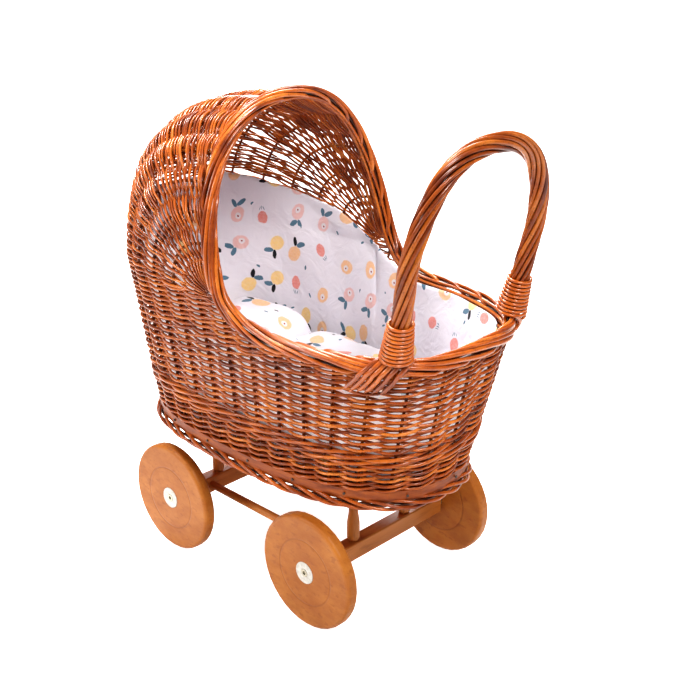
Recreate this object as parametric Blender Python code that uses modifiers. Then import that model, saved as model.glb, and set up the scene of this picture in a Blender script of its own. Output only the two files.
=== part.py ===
"""Wicker doll pram: a woven willow basket with a fixed hood, on a beech chassis with four turning wheels.

Metres, +Z up. +X points to the foot end, where the handle stands; the hood is at -X. The origin lies on the
floor, under the middle of the pram's outer box. Every weave is modelled here as the closed shell that its
rods fill, so the basket, the border and the handle have their true outer shapes and openings.
"""

import math

import bmesh
import bpy
from mathutils import Matrix, Vector

# Chassis
WHEEL_DIA = 0.125
WHEEL_THICK = 0.0144
WHEEL_EDGE_ROUND = 0.004
WHEEL_BASE = 0.218
TRACK_OVER_WHEELS = 0.223
CHASSIS_X = -0.012
BEAM_WIDTH = 0.016
BEAM_HEIGHT = 0.020
AXLE_ABOVE_BEAM_MIDDLE = 0.002
DOWEL_DIA = 0.009
DOWEL_SPACING = 0.112
DOWEL_SOCKET_DEPTH = 0.008
SPINDLE_SPACING = 0.080
SPINDLE_FOOT_DIA = 0.0134
SPINDLE_NECK_DIA = 0.0100
SPINDLE_FOOT_HEIGHT = 0.021
TENON_DIA = 0.0070
TENON_LENGTH = 0.008
BOLT_DIA = 0.005
BOLT_GRIP = 0.022
BOLT_HEAD_DIA = 0.0085
BOLT_HEAD_HEIGHT = 0.0024
BOLT_SOCKET_DIA = 0.0046
BUSH_SLEEVE_DIA = 0.011
BUSH_FLANGE_DIA = 0.024
BUSH_FLANGE_THICK = 0.003
SPACER_DIA = 0.014
SPACER_THICK = 0.0016

# Basket body, measured over the weave
BODY_X = -0.012
BOARD_UNDERSIDE = 0.1517
BOARD_THICK = 0.0105
BASE_FOOT_REACH = 0.1975
BASE_HOOD_REACH = 0.1915
BASE_HALF_WIDTH = 0.108
BROW_HEIGHT = 0.330
BROW_FOOT_REACH = 0.234
BROW_HOOD_REACH = 0.2235
BROW_HALF_WIDTH = 0.1285
HOOD_RISE = 0.187
BASE_FOOT_SQUARENESS = 2.5
BROW_FOOT_SQUARENESS = 3.3
HOOD_SQUARENESS = 2.9
PROFILE_SQUARENESS = 2.6
ARCH_SQUARENESS = 2.27
HOOD_BELLY = 1.6
FOOT_FLARE = 1.1
SIDE_FLARE = 0.7
WEAVE_THICK = 0.008
LOWER_WEAVE_HEIGHT = 0.032
WALE_HEIGHT = 0.011

# Border that runs round the basket's rim and up over the hood's mouth
BORDER_DIA = 0.0165
BORDER_INSET = 0.003
RIM_HEIGHT = 0.307
RIM_BEND_X = 0.082
RIM_BEND_HEIGHT = 0.352
ARCH_TOP_X = -0.0235
ARCH_TOP_HEIGHT = 0.515
ARCH_SWEEP = 0.96
FOOT_BORDER_DIA = 0.0115

# Handle
HANDLE_DIA = 0.019
HANDLE_TOP = 0.5150
HANDLE_HALF_WIDTH = 0.0909
HANDLE_FOOT_HALF_WIDTH = 0.0850
HANDLE_SPRING_HEIGHT = 0.4015
HANDLE_FOOT_X = 0.2030
HANDLE_LEAN = 0.195
HANDLE_CURL = 0.0045
HANDLE_SQUARENESS = 2.35
BINDING_WALL = 0.0034
BINDING_LENGTH = 0.036
TAIL_THICK = 0.0035
TAIL_WIDTH = 0.024
TAIL_DROP = 0.034
TAIL_SHIFT = 0.022

# Bedding
LINER_THICK = 0.0016
LINER_HOOD_BACK_HEIGHT = 0.394
LINER_HOOD_SIDE_HEIGHT = 0.362
LINER_HOOD_SIDE_X = -0.066
MATTRESS_THICK = 0.030
PILLOW_LENGTH = 0.130
PILLOW_WIDTH = 0.180
PILLOW_THICK = 0.055
DUVET_LENGTH = 0.215
DUVET_WIDTH = 0.180
DUVET_THICK = 0.042
BEDDING_GAP = 0.006

# Fits
GAP = 0.0003
RUNNING_GAP = 0.00005
SOFT_GAP = 0.0012

# Fineness of the round shapes
BODY_STEPS = 44
WHEEL_STEPS = 36
SMALL_STEPS = 16
BEARING_STEPS = 24
BOARD_STEPS = 44

WHEEL_R = WHEEL_DIA / 2
BEAM_MIDDLE = WHEEL_R - AXLE_ABOVE_BEAM_MIDDLE
BEAM_TOP = BEAM_MIDDLE + BEAM_HEIGHT / 2
WHEEL_FACE_Y = TRACK_OVER_WHEELS / 2
WHEEL_BACK_Y = WHEEL_FACE_Y - WHEEL_THICK
BEAM_END_Y = WHEEL_BACK_Y - SPACER_THICK - 2 * GAP
BOARD_TOP = BOARD_UNDERSIDE + BOARD_THICK
WALE_BOTTOM = BOARD_TOP + GAP + LOWER_WEAVE_HEIGHT
SIDE_BOTTOM = WALE_BOTTOM + WALE_HEIGHT
BORDER_R = BORDER_DIA / 2
HANDLE_R = HANDLE_DIA / 2
ENDS = (("hood_end", -1), ("handle_end", 1))
SIDES = (("near", -1), ("far", 1))


# --- Scene -------------------------------------------------------------------------------------------------


def clear_scene():
    for obj in list(bpy.data.objects):
        bpy.data.objects.remove(obj, do_unlink=True)


def new_collection(name):
    collection = bpy.data.collections.new(name)
    bpy.context.scene.collection.children.link(collection)
    return collection


clear_scene()
PRAM = new_collection("doll_pram")
CUTTERS = new_collection("cutters")


def finish(name, colour, roughness, metallic=0.0):
    made = bpy.data.materials.new(name)
    made.use_nodes = True
    shader = made.node_tree.nodes["Principled BSDF"]
    shader.inputs["Base Color"].default_value = (*colour, 1.0)
    shader.inputs["Roughness"].default_value = roughness
    shader.inputs["Metallic"].default_value = metallic
    return made


WILLOW = finish("varnished_willow", (0.52, 0.19, 0.05), 0.32)
BOARD_WOOD = finish("stained_board", (0.42, 0.16, 0.04), 0.45)
BEECH = finish("oiled_beech", (0.55, 0.28, 0.12), 0.5)
WHITE_PLASTIC = finish("white_plastic", (0.86, 0.84, 0.80), 0.35)
STEEL = finish("zinc_steel", (0.62, 0.58, 0.48), 0.3, 1.0)
COTTON = finish("printed_cotton", (0.80, 0.78, 0.82), 0.9)


def from_bmesh(name, bm, material, collection=PRAM):
    mesh = bpy.data.meshes.new(name)
    bm.to_mesh(mesh)
    bm.free()
    obj = bpy.data.objects.new(name, mesh)
    collection.objects.link(obj)
    if material:
        mesh.materials.append(material)
        mesh.shade_smooth()
        mesh.set_sharp_from_angle(angle=math.radians(35))
    else:
        obj.hide_render = True
        obj.display_type = "WIRE"
    return obj


def cut(obj, cutter):
    modifier = obj.modifiers.new("cut_" + cutter.name, "BOOLEAN")
    modifier.operation = "DIFFERENCE"
    modifier.object = cutter


# --- Simple solids -----------------------------------------------------------------------------------------


def turned(name, profile, steps, material, place, turn=(0.0, 0.0, 0.0)):
    """A turned solid: its closed profile of (radius, height) goes once round, outer side from top to bottom."""
    bm = bmesh.new()
    points = [bm.verts.new((radius, 0.0, height)) for radius, height in profile]
    closed = min(radius for radius, _ in profile) > 0
    for start, end in zip(points, points[1:] + points[:1] if closed else points[1:]):
        bm.edges.new((start, end))
    obj = from_bmesh(name, bm, material)
    screw = obj.modifiers.new("turn", "SCREW")
    screw.axis = "Z"
    screw.steps = screw.render_steps = steps
    screw.use_merge_vertices = True
    screw.merge_threshold = 0.00001
    screw.use_smooth_shade = False
    obj.location = place
    obj.rotation_euler = turn
    return obj


def bore(name, dia, start, end, steps=SMALL_STEPS):
    """A round cutter from start to end."""
    start, end = Vector(start), Vector(end)
    bm = bmesh.new()
    length = (end - start).length
    bmesh.ops.create_cone(
        bm, cap_ends=True, segments=steps, radius1=dia / 2, radius2=dia / 2, depth=length
    )
    obj = from_bmesh(name, bm, None, CUTTERS)
    obj.matrix_world = Matrix.Translation((start + end) / 2) @ (
        (end - start).to_track_quat("Z", "Y").to_matrix().to_4x4()
    )
    return obj


def rounded_box(name, size, place, radius, material, segments=1):
    bm = bmesh.new()
    bmesh.ops.create_cube(bm, size=1.0)
    bmesh.ops.scale(bm, vec=size, verts=bm.verts)
    obj = from_bmesh(name, bm, material)
    obj.location = place
    bevel = obj.modifiers.new("round", "BEVEL")
    bevel.width = radius
    bevel.segments = segments
    bevel.limit_method = "NONE"
    return obj


def tube(name, points, dia, material, cyclic=False, sides=8):
    """A round rod or bundle along points."""
    curve = bpy.data.curves.new(name, "CURVE")
    curve.dimensions = "3D"
    curve.bevel_depth = dia / 2
    curve.bevel_resolution = (sides - 4) // 2
    curve.use_fill_caps = not cyclic
    spline = curve.splines.new("POLY")
    spline.points.add(len(points) - 1)
    for spot, point in zip(spline.points, points):
        spot.co = (*point, 1.0)
    spline.use_cyclic_u = cyclic
    obj = bpy.data.objects.new(name, curve)
    PRAM.objects.link(obj)
    curve.materials.append(material)
    return obj


# --- Shape of the woven body -------------------------------------------------------------------------------


def eased(low, high, height, power):
    """A reach that grows from the board to the brow: fastest at the board when power is over 1."""
    share = (height - BOARD_UNDERSIDE) / (BROW_HEIGHT - BOARD_UNDERSIDE)
    return low + (high - low) * (1 - (1 - min(share, 1.0)) ** power)


def plan_shape(height, side):
    """Half length towards +X or -X, half width and squareness of the body's plan, at a height up to the brow."""
    if side > 0:
        reach = eased(BASE_FOOT_REACH, BROW_FOOT_REACH, height, FOOT_FLARE)
        power = eased(BASE_FOOT_SQUARENESS, BROW_FOOT_SQUARENESS, height, 1.0)
    else:
        reach, power = eased(BASE_HOOD_REACH, BROW_HOOD_REACH, height, HOOD_BELLY), HOOD_SQUARENESS
    return reach, eased(BASE_HALF_WIDTH, BROW_HALF_WIDTH, height, SIDE_FLARE), power


def inside_measure(x, y, height, inset):
    """Below 1 inside the body's skin, above 1 outside it. x is counted from the body's middle."""
    if height <= BROW_HEIGHT:
        reach, width, power = plan_shape(height, 1 if x > 0 else -1)
        return (abs(x) / (reach - inset)) ** power + (abs(y) / (width - inset)) ** power
    rise = height - BROW_HEIGHT
    angle = math.atan2(rise, abs(x))
    along = (math.cos(angle) / (BROW_HOOD_REACH - inset)) ** PROFILE_SQUARENESS
    upward = (math.sin(angle) / (HOOD_RISE - inset)) ** PROFILE_SQUARENESS
    reach = (along + upward) ** (-1 / PROFILE_SQUARENESS)
    power = HOOD_SQUARENESS + (ARCH_SQUARENESS - HOOD_SQUARENESS) * angle / (math.pi / 2)
    return (math.hypot(x, rise) / reach) ** power + (abs(y) / (BROW_HALF_WIDTH - inset)) ** power


def skin_point(turn, height, inset=0.0):
    """The body's skin at a height, in the direction that a point at this angle of the brow's plan has."""
    across = BROW_HALF_WIDTH * math.sin(turn)
    along = (BROW_FOOT_REACH if math.cos(turn) > 0 else BROW_HOOD_REACH) * math.cos(turn)
    low, high = 0.0, 1.2
    for _ in range(30):
        middle = (low + high) / 2
        if inside_measure(along * middle, across * middle, height, inset) < 1:
            low = middle
        else:
            high = middle
    return Vector((BODY_X + along * low, across * low, height))


def half_width(x, height, inset=0.0):
    """Half width of the body at a place on its side view."""
    low, high = 0.0, BROW_HALF_WIDTH
    for _ in range(30):
        middle = (low + high) / 2
        if inside_measure(x - BODY_X, middle, height, inset) < 1:
            low = middle
        else:
            high = middle
    return low


def lofted(name, rings, material, closed):
    """Level loops of the skin, each extruded from the one before; the last meets the first, or both are capped."""
    bm = bmesh.new()
    verts = bmesh.ops.create_circle(bm, cap_ends=False, segments=BODY_STEPS, radius=1.0)["verts"]
    edges = first = list(bm.edges)
    for number, (height, inset) in enumerate(rings):
        if number:
            made = bmesh.ops.extrude_edge_only(bm, edges=edges)["geom"]
            verts = [item for item in made if isinstance(item, bmesh.types.BMVert)]
            edges = [item for item in made if isinstance(item, bmesh.types.BMEdge)]
        for index, vert in enumerate(verts):
            vert.co = skin_point(2 * math.pi * index / BODY_STEPS, height, inset)
    if closed:
        bmesh.ops.bridge_loops(bm, edges=[*first, *edges])
    else:
        bmesh.ops.contextual_create(bm, geom=first)
        bmesh.ops.contextual_create(bm, geom=edges)
    bmesh.ops.recalc_face_normals(bm, faces=bm.faces)
    return from_bmesh(name, bm, material)


def woven_band(name, heights, material):
    """A band of the wall, level at its lower and upper edge."""
    outer = [(height, 0.0) for height in heights]
    inner = [(height, WEAVE_THICK) for height in reversed(heights)]
    return lofted(name, outer + inner, material, True)


def levels(low, high, count):
    return [low + (high - low) * step / count for step in range(count + 1)]


# --- Rim path ----------------------------------------------------------------------------------------------


def arch_x(height):
    """The arch leans back as it rises and is upright at its top."""
    return BODY_X + ARCH_TOP_X + ARCH_SWEEP * (ARCH_TOP_HEIGHT - height) ** 2


def rim_side_path():
    """The border's path on the side view from the start of its bend to the arch's top, as (x, z)."""
    start = Vector((BODY_X + RIM_BEND_X, RIM_HEIGHT))
    end = Vector((arch_x(RIM_BEND_HEIGHT), RIM_BEND_HEIGHT))
    lean = 2 * ARCH_SWEEP * (ARCH_TOP_HEIGHT - RIM_BEND_HEIGHT)
    corner = Vector((end.x + lean * (RIM_BEND_HEIGHT - RIM_HEIGHT), RIM_HEIGHT))
    path = []
    bend_steps, arch_steps = 7, 12
    for step in range(bend_steps):
        t = step / bend_steps
        path.append(start * (1 - t) ** 2 + corner * 2 * t * (1 - t) + end * t**2)
    for step in range(arch_steps + 1):
        share = math.sin(math.pi / 2 * step / arch_steps)
        height = RIM_BEND_HEIGHT + (ARCH_TOP_HEIGHT - RIM_BEND_HEIGHT) * share
        path.append(Vector((arch_x(height), height)))
    return path


def shifted_path(offset):
    """The same path moved down and back by offset, and run on past the foot end and above the arch."""
    path = rim_side_path()
    path = [path[0] + Vector((BROW_FOOT_REACH, 0))] + path + [path[-1] + Vector((0, BROW_HALF_WIDTH))]
    moved = []
    for number, spot in enumerate(path):
        along = path[min(number + 1, len(path) - 1)] - path[max(number - 1, 0)]
        moved.append(spot + Vector((along.y, -along.x)).normalized() * -offset)
    moved[0].x = path[0].x
    return moved


def prism(name, outline, half_depth):
    """A cutter: an outline on the side view, as deep as half_depth to both sides."""
    bm = bmesh.new()
    face = bm.faces.new([bm.verts.new((x, -half_depth, z)) for x, z in outline])
    made = bmesh.ops.extrude_face_region(bm, geom=[face])["geom"]
    moved = [item for item in made if isinstance(item, bmesh.types.BMVert)]
    bmesh.ops.translate(bm, verts=moved, vec=(0, 2 * half_depth, 0))
    bmesh.ops.recalc_face_normals(bm, faces=bm.faces)
    return from_bmesh(name, bm, None, CUTTERS)


def mouth_cutter():
    """All that lies above the rim and in front of the hood's mouth."""
    path = shifted_path(BORDER_DIA / 2 + GAP)
    return prism("mouth", path + [Vector((path[0].x, path[-1].y))], 2 * BROW_HALF_WIDTH)


def rim_points():
    """The border's own path: the foot end, one side, over the arch, and back down the other side."""
    path = rim_side_path()
    foot = [skin_point(math.pi / 2 * step / 14, RIM_HEIGHT, BORDER_INSET) for step in range(15)]
    side = [point for point in foot if point.x > path[0].x + 0.008]
    for spot in path[:-1]:
        side.append(Vector((spot.x, half_width(spot.x, spot.y, BORDER_INSET), spot.y)))
    top = Vector((path[-1].x, 0.0, path[-1].y))
    other = [Vector((point.x, -point.y, point.z)) for point in side[1:]]
    return side + [top] + other[::-1]


# --- Chassis -----------------------------------------------------------------------------------------------


def axle_x(end):
    return CHASSIS_X + end * WHEEL_BASE / 2


def wheel_profile():
    half = WHEEL_THICK / 2
    bore_r = BUSH_SLEEVE_DIA / 2 + GAP
    seat_r = BUSH_FLANGE_DIA / 2 + GAP
    profile = [(bore_r, half - BUSH_FLANGE_THICK), (seat_r, half - BUSH_FLANGE_THICK), (seat_r, half)]
    corner_steps = 3
    for height in (1, -1):
        for step in range(corner_steps + 1):
            angle = math.pi / 2 * step / corner_steps
            if height < 0:
                angle = math.pi / 2 - angle
            out = WHEEL_R - WHEEL_EDGE_ROUND * (1 - math.sin(angle))
            up = half - WHEEL_EDGE_ROUND * (1 - math.cos(angle))
            profile.append((out, height * up))
    profile.append((bore_r, -half))
    return profile


def bush_profile():
    """White flanged bush: the flange's face is a little proud of the wheel, and seats the bolt's head."""
    half = WHEEL_THICK / 2
    hole = (BOLT_DIA / 2 + RUNNING_GAP) / math.cos(math.pi / BEARING_STEPS)
    seat = BOLT_HEAD_DIA / 2 + GAP
    face = half + GAP
    seat_floor = face - BOLT_HEAD_HEIGHT
    flange = half - BUSH_FLANGE_THICK + GAP
    return [
        (hole, seat_floor),
        (seat, seat_floor),
        (seat, face),
        (BUSH_FLANGE_DIA / 2, face),
        (BUSH_FLANGE_DIA / 2, flange),
        (BUSH_SLEEVE_DIA / 2, flange),
        (BUSH_SLEEVE_DIA / 2, -half),
        (hole, -half),
    ]


def make_wheels():
    """Wheel, bush, spacer and bolt at each corner; wheel and bush turn on the bolt."""
    for end_name, end in ENDS:
        for side_name, side in SIDES:
            corner = end_name + "_" + side_name
            turn = (-side * math.pi / 2, 0.0, 0.0)
            middle = (axle_x(end), side * (WHEEL_FACE_Y - WHEEL_THICK / 2), WHEEL_R)
            turned("wheel_" + corner, wheel_profile(), WHEEL_STEPS, BEECH, middle, turn)
            turned("hub_bush_" + corner, bush_profile(), BEARING_STEPS, WHITE_PLASTIC, middle, turn)
            hole = BOLT_DIA / 2 + GAP
            half = SPACER_THICK / 2
            ring = [(hole, half), (SPACER_DIA / 2, half), (SPACER_DIA / 2, -half), (hole, -half)]
            place = (axle_x(end), side * (BEAM_END_Y + GAP + half), WHEEL_R)
            turned("spacer_" + corner, ring, SMALL_STEPS, STEEL, place, turn)
            make_bolt(corner, end, side, turn)


def make_bolt(corner, end, side, turn):
    """Hexagon socket bolt: its head sits in the bush, its shank runs through to the beam's end."""
    head_floor = WHEEL_THICK / 2 + 2 * GAP - BOLT_HEAD_HEIGHT
    head_top = head_floor + BOLT_HEAD_HEIGHT
    tip = -(WHEEL_THICK + SPACER_THICK + 2 * GAP + BOLT_GRIP) + WHEEL_THICK / 2
    profile = [
        (0.0, head_top),
        (BOLT_HEAD_DIA / 2, head_top),
        (BOLT_HEAD_DIA / 2, head_floor),
        (BOLT_DIA / 2, head_floor),
        (BOLT_DIA / 2, tip),
        (0.0, tip),
    ]
    middle = (axle_x(end), side * (WHEEL_FACE_Y - WHEEL_THICK / 2), WHEEL_R)
    bolt = turned("bolt_" + corner, profile, BEARING_STEPS, STEEL, middle, turn)
    face = side * (WHEEL_FACE_Y + head_top - WHEEL_THICK / 2)
    start = (axle_x(end), face + side * 0.002, WHEEL_R)
    stop = (axle_x(end), face - side * BOLT_HEAD_HEIGHT * 0.7, WHEEL_R)
    cut(bolt, bore("socket_" + corner, BOLT_SOCKET_DIA, start, stop, 6))


def make_beams():
    for end_name, end in ENDS:
        size = (BEAM_WIDTH, 2 * BEAM_END_Y, BEAM_HEIGHT)
        beam = rounded_box("beam_" + end_name, size, (axle_x(end), 0, BEAM_MIDDLE), 0.0012, BEECH)
        inner_face = axle_x(end) - end * BEAM_WIDTH / 2
        for side_name, side in SIDES:
            tag = end_name + "_" + side_name
            y = side * SPINDLE_SPACING / 2
            floor = BEAM_TOP - TENON_LENGTH - GAP
            low, high = (axle_x(end), y, floor), (axle_x(end), y, BEAM_TOP + 0.002)
            cut(beam, bore("beam_mortise_" + tag, TENON_DIA + 2 * GAP, low, high))
            y = side * DOWEL_SPACING / 2
            deep = (inner_face + end * (DOWEL_SOCKET_DEPTH + GAP), y, BEAM_MIDDLE)
            mouth = (inner_face - end * 0.002, y, BEAM_MIDDLE)
            cut(beam, bore("dowel_socket_" + tag, DOWEL_DIA + 2 * GAP, deep, mouth))
            deep = (axle_x(end), side * (BEAM_END_Y - BOLT_GRIP - GAP), WHEEL_R)
            mouth = (axle_x(end), side * (BEAM_END_Y + 0.002), WHEEL_R)
            cut(beam, bore("bolt_hole_" + tag, BOLT_DIA + 2 * GAP, deep, mouth))


def make_side_dowels():
    length = WHEEL_BASE - BEAM_WIDTH + 2 * DOWEL_SOCKET_DEPTH
    for side_name, side in SIDES:
        half, r = length / 2, DOWEL_DIA / 2
        profile = [(0.0, half), (r, half), (r, -half), (0.0, -half)]
        place = (CHASSIS_X, side * DOWEL_SPACING / 2, BEAM_MIDDLE)
        turned("side_dowel_" + side_name, profile, SMALL_STEPS, BEECH, place, (0, math.pi / 2, 0))


def make_spindles():
    """Turned posts: a stout foot on the beam, a neck up to the board, and a tenon at each end."""
    low, high = BEAM_TOP + GAP, BOARD_UNDERSIDE - GAP
    foot, neck, tenon = SPINDLE_FOOT_DIA / 2, SPINDLE_NECK_DIA / 2, TENON_DIA / 2
    shoulder = low + SPINDLE_FOOT_HEIGHT
    profile = [
        (0.0, high + TENON_LENGTH),
        (tenon, high + TENON_LENGTH),
        (tenon, high),
        (neck, high),
        (neck, shoulder + 0.012),
        (foot, shoulder),
        (foot, low + 0.003),
        (foot - 0.0015, low),
        (tenon, low),
        (tenon, low - TENON_LENGTH),
        (0.0, low - TENON_LENGTH),
    ]
    for end_name, end in ENDS:
        for side_name, side in SIDES:
            place = (axle_x(end), side * SPINDLE_SPACING / 2, 0)
            turned("spindle_" + end_name + "_" + side_name, profile, SMALL_STEPS, BEECH, place)


# --- Basket ------------------------------------------------------------------------------------------------


def board_outline(height, inset):
    return [skin_point(2 * math.pi * step / BOARD_STEPS, height, inset) for step in range(BOARD_STEPS)]


def make_base_board():
    bm = bmesh.new()
    low = [bm.verts.new(point) for point in board_outline(BOARD_UNDERSIDE, 0.0)]
    face = bm.faces.new(low)
    made = bmesh.ops.extrude_face_region(bm, geom=[face])["geom"]
    bmesh.ops.translate(
        bm, verts=[item for item in made if isinstance(item, bmesh.types.BMVert)], vec=(0, 0, BOARD_THICK)
    )
    bmesh.ops.recalc_face_normals(bm, faces=bm.faces)
    board = from_bmesh("base_board", bm, BOARD_WOOD)
    for end_name, end in ENDS:
        for side_name, side in SIDES:
            x, y = axle_x(end), side * SPINDLE_SPACING / 2
            low, high = (x, y, BOARD_UNDERSIDE - 0.002), (x, y, BOARD_UNDERSIDE + TENON_LENGTH)
            cut(board, bore("board_mortise_" + end_name + "_" + side_name, TENON_DIA + 2 * GAP, low, high))


def make_foot_border():
    """Plait of the stakes' lower ends, pressed up under the board's edge."""
    height = BOARD_UNDERSIDE - GAP - FOOT_BORDER_DIA / 2
    points = board_outline(BOARD_UNDERSIDE, FOOT_BORDER_DIA / 2 - 0.002)
    ring = [(point.x, point.y, height) for point in points]
    tube("foot_border", ring, FOOT_BORDER_DIA, WILLOW, cyclic=True, sides=6)


def dome_heights(rise, count):
    """Heights of the hood's loops, closer together towards its top."""
    rises = [math.sin(math.radians(84) * step / count) ** (2 / PROFILE_SQUARENESS) for step in range(count + 1)]
    return [BROW_HEIGHT + share * rise for share in rises]


def make_weave():
    """The wall's bands from the board up, and the hood, both opened by the mouth."""
    mouth = mouth_cutter()
    woven_band("lower_weave", [BOARD_TOP + GAP, WALE_BOTTOM - GAP], WILLOW)
    woven_band("wale", [WALE_BOTTOM, SIDE_BOTTOM - GAP], WILLOW)
    side = woven_band("side_weave", levels(SIDE_BOTTOM, BROW_HEIGHT, 7)[:-1] + [BROW_HEIGHT - GAP], WILLOW)
    cut(side, mouth)
    outer = [(height, 0.0) for height in dome_heights(HOOD_RISE, 9)]
    inner = [(height, WEAVE_THICK) for height in dome_heights(HOOD_RISE - WEAVE_THICK, 9)]
    hood = lofted("hood_weave", outer[::-1] + inner, WILLOW, False)
    cut(hood, mouth)


def make_border():
    tube("rim_border", rim_points(), BORDER_DIA, WILLOW, cyclic=True)


# --- Handle ------------------------------------------------------------------------------------------------


def handle_x(height):
    foot = RIM_HEIGHT + BORDER_R
    curl = max(0.0, (height - 0.44) / (HANDLE_TOP - 0.44)) ** 2
    return BODY_X + HANDLE_FOOT_X + HANDLE_LEAN * (height - foot) - HANDLE_CURL * curl


def handle_foot_and_knee():
    """Ends of the straight stretch that the binding is wound round, on the far side."""
    low = RIM_HEIGHT + BORDER_R + GAP + HANDLE_R * HANDLE_LEAN + 0.001
    high = low + BINDING_LENGTH + 0.004
    share = (high - low) / (HANDLE_SPRING_HEIGHT - low)
    width = HANDLE_FOOT_HALF_WIDTH + (HANDLE_HALF_WIDTH - HANDLE_FOOT_HALF_WIDTH) * share * 1.3
    return (
        Vector((handle_x(low), HANDLE_FOOT_HALF_WIDTH, low)),
        Vector((handle_x(high), width, high)),
    )


def handle_points():
    foot, knee = handle_foot_and_knee()
    half = [foot, knee]
    top = HANDLE_TOP - HANDLE_R
    arch_steps = 12
    for step in range(1, arch_steps + 1):
        angle = math.pi / 2 * step / arch_steps
        y = HANDLE_HALF_WIDTH * math.cos(angle) ** (2 / HANDLE_SQUARENESS)
        z = HANDLE_SPRING_HEIGHT + (top - HANDLE_SPRING_HEIGHT) * math.sin(angle) ** (2 / HANDLE_SQUARENESS)
        if step == 1:
            half.append(Vector((handle_x(HANDLE_SPRING_HEIGHT), HANDLE_HALF_WIDTH, HANDLE_SPRING_HEIGHT)))
        half.append(Vector((handle_x(z), y if step < arch_steps else 0.0, z)))
    other = [Vector((point.x, -point.y, point.z)) for point in half[:-1]]
    return half + other[::-1]


def make_handle():
    tube("handle", handle_points(), HANDLE_DIA, WILLOW)
    foot, knee = handle_foot_and_knee()
    inner = HANDLE_R + 2 * GAP
    outer = inner + BINDING_WALL
    half = BINDING_LENGTH / 2
    ring = [(inner, half), (outer, half), (outer, -half), (inner, -half)]
    for side_name, side in SIDES:
        start = Vector((foot.x, side * foot.y, foot.z))
        end = Vector((knee.x, side * knee.y, knee.z))
        along = (end - start).normalized()
        middle = start + along * (half + 2 * outer * HANDLE_LEAN)
        binding = turned("handle_binding_" + side_name, ring, SMALL_STEPS, WILLOW, middle)
        binding.rotation_euler = along.to_track_quat("Z", "Y").to_euler()


def tail_point(across, along, side):
    """A spot on the handle's splayed tails: over the border's outer side, then down the wall."""
    around = 0.0
    radius = BORDER_R + 3 * GAP
    fall = along * (TAIL_DROP + math.radians(100) * radius)
    turn = min(fall / radius, math.radians(100))
    angle = math.radians(50) - turn
    drop = max(0.0, fall - math.radians(100) * radius)
    base = Vector((handle_x(RIM_HEIGHT) - TAIL_SHIFT * along + across * TAIL_WIDTH * (1 + 0.4 * along), 0, 0))
    around = half_width(base.x, RIM_HEIGHT, BORDER_INSET) if base.x < BODY_X + BROW_FOOT_REACH else 0.0
    ahead = half_width(base.x - 0.002, RIM_HEIGHT, BORDER_INSET)
    normal = Vector((ahead - around, 0.002)).normalized()
    normal = Vector((abs(normal.x), normal.y))
    out = radius * math.cos(angle)
    height = RIM_HEIGHT + radius * math.sin(angle) - drop
    if drop > 0:
        wall = half_width(base.x, RIM_HEIGHT) - half_width(base.x, max(height, BOARD_TOP))
        out = max(radius * math.cos(angle) - drop * 0.1, WEAVE_THICK / 2 + GAP) - wall * 0.2
    return Vector((base.x + out * normal.x, side * (around + out * normal.y), height))


def make_tails():
    for side_name, side in SIDES:
        bm = bmesh.new()
        rows, columns = 8, 4
        grid = [
            [bm.verts.new(tail_point(column / columns - 0.5, row / rows, side)) for column in range(columns + 1)]
            for row in range(rows + 1)
        ]
        for row in range(rows):
            for column in range(columns):
                corners = [grid[row][column], grid[row][column + 1], grid[row + 1][column + 1], grid[row + 1][column]]
                bm.faces.new(corners if side > 0 else corners[::-1])
        obj = from_bmesh("handle_tails_" + side_name, bm, WILLOW)
        wall = obj.modifiers.new("rods", "SOLIDIFY")
        wall.thickness = TAIL_THICK
        wall.offset = 1.0


# --- Bedding -----------------------------------------------------------------------------------------------


def make_liner():
    """Cotton bag that lines the basket, level with the border's underside and higher inside the hood."""
    inset = WEAVE_THICK + SOFT_GAP
    low, top = BOARD_TOP + GAP, LINER_HOOD_BACK_HEIGHT + 0.03
    above_brow = [height for height in dome_heights(HOOD_RISE - WEAVE_THICK, 9) if height < top]
    heights = [low, low + LINER_THICK] + levels(SIDE_BOTTOM, BROW_HEIGHT, 7)[:-1] + above_brow
    outer = [(height, inset) for height in heights]
    inner = [(height, inset + LINER_THICK) for height in heights[:0:-1]]
    liner = lofted("liner", outer + inner, COTTON, False)
    edge = RIM_HEIGHT - BORDER_R - SOFT_GAP
    side = Vector((BODY_X + LINER_HOOD_SIDE_X, LINER_HOOD_SIDE_HEIGHT))
    back = Vector((BODY_X - BROW_HOOD_REACH - 0.02, LINER_HOOD_BACK_HEIGHT))
    path = [spot for spot in shifted_path(BORDER_R + SOFT_GAP) if spot.y < 0.345 and spot.x > side.x + 0.01]
    above = [Vector((back.x, top + 0.02)), Vector((path[0].x, top + 0.02))]
    cut(liner, prism("liner_edge", path + [side, back] + above, 2 * BROW_HALF_WIDTH))


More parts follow.
